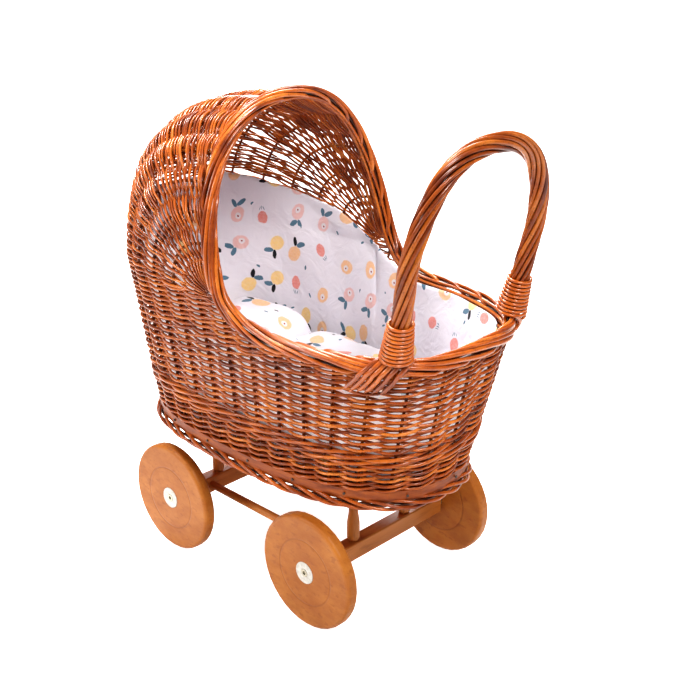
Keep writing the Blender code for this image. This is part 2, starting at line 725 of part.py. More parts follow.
def cushion(name, start, length, width, low, thick, side_steps=6):
    """A stuffed cloth piece, its outline kept clear of the liner."""
    inset = WEAVE_THICK + LINER_THICK + 2 * SOFT_GAP + BEDDING_GAP
    count = 4 * side_steps
    bm = bmesh.new()
    loops = []
    for turn in (-75, -40, 0, 40, 75):
        rise = thick / 2 * (1 + math.sin(math.radians(turn)))
        draw = thick / 2 * (1 - math.cos(math.radians(turn)))
        loop = []
        for step in range(count):
            angle = 2 * math.pi * (step + 0.5) / count
            c, s = math.cos(angle), math.sin(angle)
            x = start + length / 2 + math.copysign(abs(c) ** 0.45, c) * (length / 2 - draw)
            reach = min(width / 2, half_width(x, low + rise, inset)) - draw
            y = math.copysign(abs(s) ** 0.45, s) * reach
            loop.append(bm.verts.new((x, y, low + rise)))
        loops.append(loop)
    for lower, upper in zip(loops, loops[1:]):
        for step in range(count):
            after = (step + 1) % count
            bm.faces.new((lower[step], lower[after], upper[after], upper[step]))
    bm.faces.new(loops[0][::-1])
    bm.faces.new(loops[-1])
    from_bmesh(name, bm, COTTON)


def make_bedding():
    """Mattress, then pillow and duvet side by side on it."""
    inset = WEAVE_THICK + LINER_THICK + 2 * SOFT_GAP
    low = BOARD_TOP + LINER_THICK + 2 * GAP
    half = MATTRESS_THICK / 2
    mattress = [(low, inset + 0.006), (low + 0.006, inset), (low + MATTRESS_THICK - 0.006, inset)]
    lofted("mattress", [*mattress, (low + 2 * half, inset + 0.006)], COTTON, False)
    top = low + MATTRESS_THICK + SOFT_GAP
    reach = plan_shape(top, -1)[0]
    start = BODY_X - reach + inset + BEDDING_GAP
    cushion("pillow", start, PILLOW_LENGTH, PILLOW_WIDTH, top, PILLOW_THICK)
    cushion("duvet", start + PILLOW_LENGTH + SOFT_GAP, DUVET_LENGTH, DUVET_WIDTH, top, DUVET_THICK)


make_beams()
make_side_dowels()
make_spindles()
make_wheels()
make_base_board()
make_foot_border()
make_weave()
make_border()
make_handle()
make_tails()
make_liner()
make_bedding()
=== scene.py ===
"""Woven willow doll pram: basket with a fixed hood, bow handle, beech chassis and printed cotton bedding."""

import math

import bmesh
import bpy
import numpy as np
from mathutils import Matrix, Vector


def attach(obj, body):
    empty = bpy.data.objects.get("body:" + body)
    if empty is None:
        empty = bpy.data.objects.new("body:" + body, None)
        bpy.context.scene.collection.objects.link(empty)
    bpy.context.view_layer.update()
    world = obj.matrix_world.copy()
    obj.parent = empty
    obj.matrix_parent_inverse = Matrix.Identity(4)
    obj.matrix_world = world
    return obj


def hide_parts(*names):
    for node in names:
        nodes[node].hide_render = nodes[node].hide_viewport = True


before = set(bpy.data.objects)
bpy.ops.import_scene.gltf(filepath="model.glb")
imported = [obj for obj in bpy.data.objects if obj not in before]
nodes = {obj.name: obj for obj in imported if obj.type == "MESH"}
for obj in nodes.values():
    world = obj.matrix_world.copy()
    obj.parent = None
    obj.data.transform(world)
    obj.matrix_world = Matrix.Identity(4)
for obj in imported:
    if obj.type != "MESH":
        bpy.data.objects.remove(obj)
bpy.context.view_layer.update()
bpy.ops.object.select_all(action="DESELECT")

# --- Beech chassis ------------------------------------------------------------------------------------------
# Two square beams and two dowels glued into a frame, four turned posts up to the basket, and four turned discs.
# All are pale beech, rubbed with a thin brown oil; the grain follows each piece's length.


def new_group(name, inputs, outputs):
    """An empty finish group with its named inputs and outputs."""
    group = bpy.data.node_groups.new(name, "ShaderNodeTree")
    for label, kind, value in inputs:
        socket = group.interface.new_socket(label, in_out="INPUT", socket_type=kind)
        if value is not None:
            socket.default_value = value
    for label, kind in outputs:
        group.interface.new_socket(label, in_out="OUTPUT", socket_type=kind)
    return group, group.nodes.new("NodeGroupInput"), group.nodes.new("NodeGroupOutput")


def sum_node(tree, operation, first, second=None, third=None, clamp=False):
    """One step of arithmetic; each value is a socket or a number."""
    node = tree.nodes.new("ShaderNodeMath")
    node.operation, node.use_clamp = operation, clamp
    for slot, value in zip(node.inputs, (first, second, third)):
        if isinstance(value, bpy.types.NodeSocket):
            tree.links.new(value, slot)
        elif value is not None:
            slot.default_value = value
    return node.outputs[0]


def colour_mix(tree, share, low, high, kind="MIX"):
    """Two colours mixed by a share; each is a socket or a plain value."""
    node = tree.nodes.new("ShaderNodeMix")
    node.data_type, node.blend_type = "RGBA", kind
    for slot, value in ((node.inputs[0], share), (node.inputs[6], low), (node.inputs[7], high)):
        if isinstance(value, bpy.types.NodeSocket):
            tree.links.new(value, slot)
        else:
            slot.default_value = value
    return node.outputs[2]


def noise_node(tree, place, scale, detail=3.0, rough=0.55):
    node = tree.nodes.new("ShaderNodeTexNoise")
    node.inputs["Scale"].default_value = scale
    node.inputs["Detail"].default_value = detail
    node.inputs["Roughness"].default_value = rough
    tree.links.new(place, node.inputs["Vector"])
    return node.outputs["Fac"]


def graded(tree, value, stops, mode="LINEAR"):
    """Colours set out along a value."""
    node = tree.nodes.new("ShaderNodeValToRGB")
    node.color_ramp.interpolation = mode
    while len(node.color_ramp.elements) < len(stops):
        node.color_ramp.elements.new(0.5)
    for element, (place, colour) in zip(node.color_ramp.elements, stops):
        element.position, element.color = place, (*colour, 1.0)
    tree.links.new(value, node.inputs[0])
    return node.outputs[0]


grain, grain_in, grain_out = new_group(
    "beech_grain",
    [("Along", "NodeSocketVector", None)],
    [("Colour", "NodeSocketColor"), ("Roughness", "NodeSocketFloat"), ("Height", "NodeSocketFloat")],
)
broad = noise_node(grain, grain_in.outputs["Along"], 26.0, 4.0)
fleck = noise_node(grain, grain_in.outputs["Along"], 190.0, 2.0)
mottle = noise_node(grain, grain_in.outputs["Along"], 70.0, 5.0, 0.7)
wood = graded(
    grain, broad, [(0.30, (0.46, 0.160, 0.036)), (0.52, (0.54, 0.200, 0.050)), (0.72, (0.61, 0.245, 0.068))]
)
clouded = graded(grain, mottle, [(0.40, (0, 0, 0)), (0.66, (0.55, 0.55, 0.55))])
wood = colour_mix(grain, clouded, wood, (0.36, 0.105, 0.020, 1))
flecked = graded(grain, fleck, [(0.58, (0, 0, 0)), (0.68, (0.45, 0.45, 0.45))])
wood = colour_mix(grain, flecked, wood, (0.30, 0.085, 0.018, 1))
grain.links.new(wood, grain_out.inputs["Colour"])
grain.links.new(sum_node(grain, "MULTIPLY_ADD", mottle, 0.2, 0.36), grain_out.inputs["Roughness"])
grain.links.new(sum_node(grain, "ADD", fleck, sum_node(grain, "MULTIPLY", mottle, 0.6)), grain_out.inputs["Height"])


def new_material(name, roughness=0.5, coat=0.0, coat_roughness=0.1, specular=0.5):
    made = bpy.data.materials.new(name)
    made.use_nodes = True
    shader = made.node_tree.nodes["Principled BSDF"]
    shader.inputs["Roughness"].default_value = roughness
    shader.inputs["Coat Weight"].default_value = coat
    shader.inputs["Coat Roughness"].default_value = coat_roughness
    shader.inputs["Specular IOR Level"].default_value = specular
    return made, made.node_tree, shader


def raise_surface(tree, shader, height, strength, distance):
    """Fine relief on a finish."""
    bump = tree.nodes.new("ShaderNodeBump")
    bump.inputs["Strength"].default_value = strength
    bump.inputs["Distance"].default_value = distance
    tree.links.new(height, bump.inputs["Height"])
    tree.links.new(bump.outputs[0], shader.inputs["Normal"])


def place_group(tree, group):
    node = tree.nodes.new("ShaderNodeGroup")
    node.node_tree = group
    return node


def object_place(tree, scale, shift=(0, 0, 0)):
    """Place on the pram, stretched and shifted."""
    place = tree.nodes.new("ShaderNodeTexCoord")
    mapping = tree.nodes.new("ShaderNodeMapping")
    mapping.inputs["Scale"].default_value = scale
    mapping.inputs["Location"].default_value = shift
    tree.links.new(place.outputs["Object"], mapping.inputs["Vector"])
    return mapping.outputs[0]


DISC_RADIUS, GROOVE_RADIUS = 0.0625, 0.0365


def beech(name, stretch, oil, disc_x=None):
    """Oiled beech with its grain along the axis that stretch makes small; a disc also has its turned groove."""
    made, tree, shader = new_material(name, 0.45, 0.08, 0.25, 0.3)
    along = place_group(tree, grain)
    tree.links.new(object_place(tree, stretch), along.inputs["Along"])
    colour, height = along.outputs["Colour"], along.outputs["Height"]
    colour = colour_mix(tree, 1.0, colour, (*oil, 1), "MULTIPLY")
    if disc_x is not None:
        spot = tree.nodes.new("ShaderNodeSeparateXYZ")
        tree.links.new(object_place(tree, (1, 1, 1), (-disc_x, 0, -DISC_RADIUS)), spot.inputs[0])
        across = sum_node(tree, "POWER", spot.outputs["X"], 2.0)
        upward = sum_node(tree, "POWER", spot.outputs["Z"], 2.0)
        radius = sum_node(tree, "SQRT", sum_node(tree, "ADD", across, upward))
        off_ring = sum_node(tree, "ABSOLUTE", sum_node(tree, "SUBTRACT", radius, GROOVE_RADIUS))
        groove = sum_node(tree, "SUBTRACT", 1.0, sum_node(tree, "MULTIPLY", off_ring, 700.0), clamp=True)
        rings = sum_node(tree, "SINE", sum_node(tree, "MULTIPLY", radius, 5200.0))
        # The turned groove is painted darker, as painted shade in the recess.
        colour = colour_mix(tree, sum_node(tree, "MULTIPLY", groove, 0.4), colour, (0.22, 0.06, 0.012, 1))
        height = sum_node(tree, "SUBTRACT", height, sum_node(tree, "MULTIPLY", groove, 4.0))
        height = sum_node(tree, "ADD", height, sum_node(tree, "MULTIPLY", rings, 0.05))
    tree.links.new(colour, shader.inputs["Base Color"])
    tree.links.new(along.outputs["Roughness"], shader.inputs["Roughness"])
    raise_surface(tree, shader, height, 0.25, 0.0006)
    return made


def dress(made, *names):
    """Gives chassis pieces their finish."""
    for name in names:
        nodes[name].data.materials.clear()
        nodes[name].data.materials.append(made)


END_AXLES = (("hood_end", -0.121), ("handle_end", 0.097))
SIDES = ("near", "far")
PALE_OIL, DARK_OIL = (1.05, 1.03, 0.90), (0.80, 0.73, 0.42)
dress(beech("beech_beam", (1.0, 0.12, 1.0), PALE_OIL), "beam_hood_end", "beam_handle_end")
dress(beech("beech_dowel", (0.10, 1.0, 1.0), PALE_OIL), "side_dowel_near", "side_dowel_far")
for end_name, axle in END_AXLES:
    disc = beech("beech_disc_" + end_name, (0.55, 1.0, 1.0), DARK_OIL, axle)
    post = beech("beech_post_" + end_name, (1.0, 1.0, 0.15), PALE_OIL)
    for side in SIDES:
        dress(disc, f"wheel_{end_name}_{side}")
        dress(post, f"spindle_{end_name}_{side}")

# --- Hub bushes, bolts and spacers --------------------------------------------------------------------------
# Each disc turns on a white flanged plastic bush round a zinc plated hexagon socket bolt.
# The plastic is slightly scuffed, the zinc faintly yellow.

white_plastic, tree, shader = new_material("bush_plastic", 0.35)
scuff = noise_node(tree, object_place(tree, (1, 1, 1)), 260.0, 4.0)
scuffed = graded(tree, scuff, [(0.35, (0.52, 0.49, 0.43)), (0.65, (0.68, 0.66, 0.61))])
tree.links.new(scuffed, shader.inputs["Base Color"])
tree.links.new(sum_node(tree, "MULTIPLY_ADD", scuff, 0.3, 0.22), shader.inputs["Roughness"])
raise_surface(tree, shader, scuff, 0.08, 0.0004)

zinc, tree, shader = new_material("zinc_plate", 0.3)
shader.inputs["Metallic"].default_value = 1.0
cloud = noise_node(tree, object_place(tree, (1, 1, 1)), 420.0, 3.0)
plated = graded(tree, cloud, [(0.3, (0.42, 0.39, 0.30)), (0.7, (0.66, 0.62, 0.50))])
tree.links.new(plated, shader.inputs["Base Color"])
tree.links.new(sum_node(tree, "MULTIPLY_ADD", cloud, 0.3, 0.2), shader.inputs["Roughness"])
raise_surface(tree, shader, cloud, 0.1, 0.0002)
for end_name, axle in END_AXLES:
    for side in SIDES:
        dress(white_plastic, f"hub_bush_{end_name}_{side}")
        dress(zinc, f"bolt_{end_name}_{side}", f"spacer_{end_name}_{side}")

# --- Base board ---------------------------------------------------------------------------------------------
# Oval board, stained and varnished with the basket; its smooth edge shows as a band between two weaves.
# Small wire pins, driven in from the edge, hold the stakes.

BASKET_X = -0.012
BOARD_UNDERSIDE, BROW, STAKES = 0.1517, 0.330, 32
FOOT_REACH, BACK_REACH, HALF_WIDTH, HOOD_RISE = 0.234, 0.2235, 0.1285, 0.187
BOARD_FOOT_REACH, BOARD_BACK_REACH, BOARD_HALF_WIDTH = 0.1975, 0.1915, 0.108
FOOT_FLARE, BACK_FLARE, SIDE_FLARE = 0.0365, 0.032, 0.0205
FOOT_SQUARE, FOOT_SQUARE_GAIN, BACK_SQUARE, ARCH_SQUARE, HOOD_SIDE_SQUARE = 2.5, 0.8, 2.9, 2.27, 2.6


def basket_skin(turn, height, inset):
    """Outer face of the basket wall at a turn round the pram and a height, moved inwards by inset."""
    cosine, sine = np.cos(turn), np.sin(turn)
    left = 1.0 - (height - BOARD_UNDERSIDE) / (BROW - BOARD_UNDERSIDE)
    left = np.clip(left, 0.0, 1.0)
    foot = cosine > 0
    full = np.where(foot, FOOT_REACH, BACK_REACH)
    foot_reach = BOARD_FOOT_REACH + FOOT_FLARE * (1 - left**1.1)
    back_reach = BOARD_BACK_REACH + BACK_FLARE * (1 - left**1.6)
    reach = np.where(foot, foot_reach, back_reach) - inset
    width = BOARD_HALF_WIDTH + SIDE_FLARE * (1 - left**0.7) - inset
    square = np.where(foot, FOOT_SQUARE + FOOT_SQUARE_GAIN * (1 - left), BACK_SQUARE)
    long_share, wide_share = np.abs(cosine) * full / reach, np.abs(sine) * HALF_WIDTH / width
    size = (long_share**square + wide_share**square) ** (-1 / square)
    return np.stack([BASKET_X + cosine * full * size, sine * HALF_WIDTH * size, height + 0 * turn], -1)


round_turns = np.linspace(0, 2 * np.pi, 4001)
brow_line = basket_skin(round_turns, BROW, 0.0)
brow_length = np.concatenate([[0], np.cumsum(np.linalg.norm(np.diff(brow_line, axis=0), axis=1))])


def turn_of(stake):
    """Turn of a stake; they are spaced evenly round the brow, from the middle of the foot end."""
    return np.interp(stake / STAKES * brow_length[-1], brow_length, round_turns)


band, tree, shader = new_material("stained_board", 0.45, 0.12, 0.2, 0.25)
streak = noise_node(tree, object_place(tree, (0.35, 0.35, 2.0)), 120.0, 4.0)
stain = graded(tree, streak, [(0.3, (0.15, 0.026, 0.002)), (0.5, (0.27, 0.056, 0.006)), (0.72, (0.38, 0.095, 0.012))])
tree.links.new(stain, shader.inputs["Base Color"])
tree.links.new(sum_node(tree, "MULTIPLY_ADD", streak, 0.3, 0.25), shader.inputs["Roughness"])
raise_surface(tree, shader, streak, 0.2, 0.0005)
dress(band, "base_board")

pin_steel, tree, shader = new_material("pin_wire", 0.5)
rust = noise_node(tree, object_place(tree, (1, 1, 1)), 900.0, 2.0)
rusted = graded(tree, rust, [(0.35, (0.02, 0.012, 0.008)), (0.7, (0.10, 0.05, 0.03))])
tree.links.new(rusted, shader.inputs["Base Color"])
PIN_RADIUS, PIN_HEIGHT = 0.0014, BOARD_UNDERSIDE + 0.0055
pins = []
for stake in range(0, STAKES, 2):
    seat = basket_skin(np.array([turn_of(stake + 0.5)]), PIN_HEIGHT, -0.0001)[0]
    ahead = basket_skin(np.array([turn_of(stake + 0.6)]), PIN_HEIGHT, -0.0001)[0]
    facing = Vector(ahead - seat).cross(Vector((0, 0, 1))).to_track_quat("Z", "Y")
    bpy.ops.mesh.primitive_cylinder_add(
        vertices=8, radius=PIN_RADIUS, depth=0.0012, location=seat, rotation=facing.to_euler()
    )
    bpy.ops.object.transform_apply(location=True, rotation=True, scale=True)
    pins.append(bpy.context.object)
bpy.ops.object.select_all(action="DESELECT")
for pin in pins:
    pin.select_set(True)
bpy.context.view_layer.objects.active = pins[0]
bpy.ops.object.join()
board_pins = bpy.context.object
board_pins.name = "board_pins"
board_pins.data.materials.append(pin_steel)
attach(board_pins, "pram")

# --- Woven wall ---------------------------------------------------------------------------------------------
# Peeled willow rods, boiled brown and varnished. Pairs of rods are twisted round upright stakes: a close band of
# thin pairs on the board, two rounds of waling in stout rods, then open rows of pairs up to the border.

bark, bark_in, bark_out = new_group(
    "willow_rod",
    [("Place", "NodeSocketVector", None), ("Rod", "NodeSocketFloat", 0.5)],
    [("Colour", "NodeSocketColor"), ("Roughness", "NodeSocketFloat"), ("Height", "NodeSocketFloat")],
)
patch = noise_node(bark, bark_in.outputs["Place"], 38.0, 3.0)
fibre = noise_node(bark, bark_in.outputs["Place"], 420.0, 3.0)
blend = sum_node(bark, "MULTIPLY_ADD", bark_in.outputs["Rod"], 0.27, sum_node(bark, "MULTIPLY", patch, 0.6))
skin_colour = graded(
    bark,
    blend,
    [
        (0.20, (0.115, 0.014, 0.0010)),
        (0.36, (0.33, 0.063, 0.0040)),
        (0.50, (0.48, 0.112, 0.0090)),
        (0.72, (0.72, 0.240, 0.0380)),
    ],
)
scar = graded(bark, fibre, [(0.57, (0, 0, 0)), (0.72, (0.7, 0.7, 0.7))])
skin_colour = colour_mix(bark, scar, skin_colour, (0.13, 0.022, 0.002, 1))
bark.links.new(skin_colour, bark_out.inputs["Colour"])
bark.links.new(sum_node(bark, "MULTIPLY_ADD", fibre, 0.25, 0.24), bark_out.inputs["Roughness"])
bark.links.new(sum_node(bark, "ADD", fibre, patch), bark_out.inputs["Height"])


def willow(name, shade=1.0, varnish=0.45, gloss=0.10):
    """Boiled and varnished willow, each rod of its own shade."""
    made, tree, shader = new_material(name, 0.35, varnish, gloss, 0.25)
    rod = tree.nodes.new("ShaderNodeNewGeometry")
    made_bark = place_group(tree, bark)
    tree.links.new(object_place(tree, (1, 1, 1)), made_bark.inputs["Place"])
    tree.links.new(rod.outputs["Random Per Island"], made_bark.inputs["Rod"])
    colour = made_bark.outputs["Colour"]
    if shade != 1.0:
        colour = colour_mix(tree, 1.0, colour, (shade, shade, shade, 1), "MULTIPLY")
    tree.links.new(colour, shader.inputs["Base Color"])
    tree.links.new(made_bark.outputs["Roughness"], shader.inputs["Roughness"])
    raise_surface(tree, shader, made_bark.outputs["Height"], 0.2, 0.0005)
    return made


wall_willow = willow("willow_wall")


def make_rods(name, rods, thickness, made, replaced=(), sides=6):
    """Rods, each a run of points with its own swell along its length, bent as curves and made one mesh."""
    bends = bpy.data.curves.new(name, "CURVE")
    bends.dimensions = "3D"
    bends.bevel_depth = thickness / 2
    bends.bevel_resolution = (sides - 4) // 2
    bends.use_fill_caps = True
    for points, swell, closed in rods:
        spline = bends.splines.new("POLY")
        spline.points.add(len(points) - 1)
        spline.points.foreach_set("co", np.column_stack([points, np.ones(len(points))]).ravel())
        spline.points.foreach_set("radius", np.broadcast_to(swell, len(points)).astype(float))
        spline.use_cyclic_u = closed
    piece = bpy.data.objects.new(name, bends)
    bpy.context.scene.collection.objects.link(piece)
    bpy.ops.object.select_all(action="DESELECT")
    piece.select_set(True)
    bpy.context.view_layer.objects.active = piece
    bpy.ops.object.convert(target="MESH")
    bpy.ops.object.shade_smooth()
    piece = bpy.context.object
    piece.data.materials.clear()
    piece.data.materials.append(made)
    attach(piece, "pram")
    if replaced:
        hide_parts(*replaced)
    return piece


def unit(vectors):
    return vectors / np.linalg.norm(vectors, axis=-1, keepdims=True)


def skin_frame(skin, turns, row, inset, step):
    """Points on the skin, their outward direction, and the direction towards the next row."""
    here = skin(turns, row, inset)
    along = skin(turns + 0.001, row, inset) - skin(turns - 0.001, row, inset)
    upward = skin(turns, row + step, inset) - skin(turns, row - step, inset)
    outward = unit(np.cross(along, upward))
    return here, outward, unit(np.cross(outward, along))


rng = np.random.default_rng(7)
STAKE_THICK = 0.0034


def pair_row(skin, row, first, last, rod, step, wander, per_stake=8):
    """Two rods twisted round the stakes, one half turn from stake to stake."""
    closed = bool(last - first >= STAKES - 0.001)
    count = int(round((last - first) * per_stake)) + (0 if closed else 1)
    stakes = np.linspace(first, last, count, endpoint=not closed)
    turns = turn_of(stakes % STAKES)
    throw = (STAKE_THICK + rod) / 2
    sway = wander * (np.sin(stakes * 0.55 + rng.uniform(0, 6.28)) + 0.6 * np.sin(stakes * 1.9 + rng.uniform(0, 6.28)))
    here, outward, across = skin_frame(skin, turns, row + sway, throw + rod / 2, step)
    made = []
    for half in (0.0, np.pi):
        swing = np.pi * stakes + half
        lift = rod * 0.47 * np.sin(swing)
        points = here + outward * (throw * np.cos(swing))[:, None] + across * lift[:, None]
        points += rng.normal(0, rod * 0.035, points.shape)
        swell = rng.uniform(0.9, 1.1) * (1 + 0.07 * np.sin(stakes * 0.8 + rng.uniform(0, 6.28)))
        if not closed:
            ends = np.minimum(stakes - first, last - stakes)
            swell = swell * np.clip(0.45 + ends * 1.1, 0.0, 1.0)
        made.append((points, swell, closed))
    return made


LOWER_ROWS, LOWER_ROD, LOWER_START, LOWER_PITCH = 5, 0.0034, 0.1642, 0.0062
lower_rods = []
for number in range(LOWER_ROWS):
    height = LOWER_START + number * LOWER_PITCH
    lower_rods += pair_row(basket_skin, height, 0, STAKES, LOWER_ROD, 0.001, 0.0002)
make_rods("lower_weave_rods", lower_rods, LOWER_ROD, wall_willow, ["lower_weave"])

WALE_ROD, WALE_HEIGHTS, WALE_STROKES = 0.0037, (0.1962, 0.2035), 30
wale_rods = []
for base in WALE_HEIGHTS:
    for third in range(3):
        stakes = np.linspace(0, WALE_STROKES, WALE_STROKES * 9, endpoint=False) * STAKES / WALE_STROKES
        turns = turn_of(stakes)
        here, outward, across = skin_frame(basket_skin, turns, base + 0 * turns, 0.0052, 0.001)
        swing = 2 * np.pi * (stakes * WALE_STROKES / STAKES + third) / 3
        out = 0.0014 + 0.0032 * np.cos(swing)
        points = here + outward * out[:, None] + across * (0.0028 * np.sin(swing))[:, None]
        wale_rods.append((points, 1 + 0.06 * np.sin(stakes * 0.6 + third), True))
make_rods("wale_rods", wale_rods, WALE_ROD, wall_willow, ["wale"], 8)

RIM_HEIGHT, ARCH_TOP_X, ARCH_TOP, ARCH_SWEEP = 0.307, -0.0235, 0.515, 0.96
RIM_BEND_X, RIM_BEND_HEIGHT, MOUTH_SQUARE = 0.082, 0.352, 2.32


def arch_x(height):
    """The hood's mouth leans back as it rises and stands upright at its top."""
    return BASKET_X + ARCH_TOP_X + ARCH_SWEEP * (ARCH_TOP - height) ** 2


def bend_line(count):
    """The border's bend from the level rim up into the arch, on the side view."""
    start = np.array([BASKET_X + RIM_BEND_X, RIM_HEIGHT])
    end = np.array([arch_x(RIM_BEND_HEIGHT), RIM_BEND_HEIGHT])
    lean = 2 * ARCH_SWEEP * (ARCH_TOP - RIM_BEND_HEIGHT)
    corner = np.array([end[0] + lean * (RIM_BEND_HEIGHT - RIM_HEIGHT), RIM_HEIGHT])
    t = np.linspace(0, 1, count)[:, None]
    return start * (1 - t) ** 2 + corner * 2 * t * (1 - t) + end * t**2


def rim_x(height):
    """How far forward the wall still stands at a height in the bend."""
    bend = bend_line(40)
    above = np.linspace(RIM_BEND_HEIGHT + 0.002, 0.42, 20)
    heights, places = np.append(bend[:, 1], above), np.append(bend[:, 0], arch_x(above))
    return np.interp(height + 0.008, heights, places) - 0.002


def clipped_row(height):
    """First and last stake of a row that stops at the border's bend."""
    stakes = np.linspace(0, STAKES / 2, 400)
    places = basket_skin(turn_of(stakes), height, 0.0)[:, 0]
    first = stakes[np.argmax(places < rim_x(height))]
    return first, STAKES - first


SIDE_ROD = 0.0031
side_heights = list(np.arange(0.2125, 0.2860, 0.0073)) + list(np.arange(0.2905, 0.3300, 0.0056))
side_rods = []
for height in side_heights:
    if height < 0.297:
        side_rods += pair_row(basket_skin, height, 0, STAKES, SIDE_ROD, 0.001, 0.0004)
    else:
        first, last = clipped_row(height)
        side_rods += pair_row(basket_skin, height, first, last, SIDE_ROD * 0.9, 0.001, 0.0004)
for height in np.arange(0.3325, 0.3740, 0.0052):
    stakes = np.linspace(0, STAKES / 2, 400)
    places = basket_skin(turn_of(stakes), 0.33 + 0 * stakes, 0.0)[:, 0]
    first, last = stakes[np.argmax(places < rim_x(height))], stakes[np.argmax(places < BASKET_X - 0.016)]
    side_rods += pair_row(basket_skin, height, first, last, SIDE_ROD * 0.85, 0.001, 0.0004)
    side_rods += pair_row(basket_skin, height, STAKES - last, STAKES - first, SIDE_ROD * 0.85, 0.001, 0.0004)
make_rods("side_weave_rods", side_rods, SIDE_ROD, wall_willow, ["side_weave"])

# --- Hood ---------------------------------------------------------------------------------------------------
# The stakes bend over from the back into the mouth's arch, and the rows fan out like hoops round the two corners
# of the arch. Towards those corners every other row ends, so that the rest lie side by side.


def hood_skin(turn, lean, inset):
    """Outer face of the hood at a turn round the pram and a row's lean, from level at the back to upright."""
    cosine, sine = np.abs(np.cos(turn)), np.sin(turn)
    level = (np.cos(lean) / (BACK_REACH - inset)) ** HOOD_SIDE_SQUARE
    rise = (np.abs(np.sin(lean)) / (HOOD_RISE - inset)) ** HOOD_SIDE_SQUARE
    radius = (level + rise) ** (-1 / HOOD_SIDE_SQUARE)
    square = BACK_SQUARE + (ARCH_SQUARE - BACK_SQUARE) * lean / (np.pi / 2)
    size = (cosine**square + np.abs(sine) ** square) ** (-1 / square)
    back = cosine * size * radius
    across = sine * size * (HALF_WIDTH - inset)
    return np.stack([BASKET_X - back * np.cos(lean), across, BROW + back * np.sin(lean)], -1)


def reach_stakes(lean, least):
    """First and last stake of a row that ends this far from the corners' axis."""
    stakes = np.linspace(STAKES / 4 - 0.5, STAKES / 2, 600)
    turns = turn_of(stakes)
    places = hood_skin(turns, lean, 0.0)
    far = np.hypot(places[:, 0] - BASKET_X, places[:, 2] - BROW)
    first = stakes[np.argmax((far > least) & (turns > np.pi / 2))]
    return first, STAKES - first


HOOD_ROD, HOOD_WANDER = 0.0027, 0.0095
LAST_LEAN, CLOSE_LEAN, WIDE_GAP, CLOSE_GAP = math.radians(81.5), math.radians(50), 0.0066, 0.0059
ROW_ENDS = (0.012, 0.145, 0.075, 0.145)
lean, number, hood_rows = 0.016, 0, []
while lean < LAST_LEAN:
    first, last = reach_stakes(lean, ROW_ENDS[number % 4] * rng.uniform(0.85, 1.15))
    hood_rows.append((lean, pair_row(hood_skin, lean, first, last, HOOD_ROD, 0.004, HOOD_WANDER)))
    gap = WIDE_GAP if lean < CLOSE_LEAN else CLOSE_GAP
    lean += gap / BACK_REACH * rng.uniform(0.78, 1.25)
    number += 1
half = math.radians(42)
back_rods = [rod for lean, pair in hood_rows if lean < half for rod in pair]
top_rods = [rod for lean, pair in hood_rows if lean >= half for rod in pair]
make_rods("hood_back_rods", back_rods, HOOD_ROD, wall_willow, ["hood_weave"])
make_rods("hood_top_rods", top_rods, HOOD_ROD, wall_willow)

stake_rods = []
for stake in range(STAKES):
    turn = turn_of(stake)
    inset = 0.0049
    over_foot = math.cos(turn) > 0 and basket_skin(np.array([turn]), BROW, 0.0)[0, 0] > rim_x(0.32)
    top = 0.304 if over_foot else BROW
    heights = np.linspace(0.1635, top, 16)
    points = [basket_skin(np.array([turn]), height, inset)[0] for height in heights]
    if not over_foot and math.cos(turn) < -0.12:
        leans = np.linspace(0.03, math.radians(82), 30)
        points += [hood_skin(np.array([turn]), lean, inset)[0] for lean in leans]
    stake_rods.append((np.array(points), 1.0, False))
# The stakes' willow is painted at under half the wall's brightness, as painted shade in the gaps between the rows.
make_rods("stake_rods", stake_rods, STAKE_THICK, willow("willow_stake_painted_shade", 0.45))

# --- Border -------------------------------------------------------------------------------------------------
# Each stake's end comes up inside, crosses the top of the rim and runs down its outer side past the next five,
# round the basket and over the arch. Two smooth rods finish the inner edge.


def half_width(x, height, inset):
    """Half width of the body on its side view."""
    x = np.asarray(x, float) - BASKET_X
    left = np.clip(1 - (height - BOARD_UNDERSIDE) / (BROW - BOARD_UNDERSIDE), 0, 1)
    if height > BROW:
        angle = math.atan2(height - BROW, abs(x))
        back = (math.cos(angle) / (BACK_REACH - inset)) ** HOOD_SIDE_SQUARE
        rise = (math.sin(angle) / (HOOD_RISE - inset)) ** HOOD_SIDE_SQUARE
        share = math.hypot(x, height - BROW) * (back + rise) ** (1 / HOOD_SIDE_SQUARE)
        square, width = BACK_SQUARE + (ARCH_SQUARE - BACK_SQUARE) * angle / (np.pi / 2), HALF_WIDTH - inset
    else:
        foot_reach = BOARD_FOOT_REACH + FOOT_FLARE * (1 - left**1.1)
        back_reach = BOARD_BACK_REACH + BACK_FLARE * (1 - left**1.6)
        share = abs(x) / ((foot_reach if x > 0 else back_reach) - inset)
        square = FOOT_SQUARE + FOOT_SQUARE_GAIN * (1 - left) if x > 0 else BACK_SQUARE
        width = BOARD_HALF_WIDTH + SIDE_FLARE * (1 - left**0.7) - inset
    return width * max(0.0, 1 - share**square) ** (1 / square)


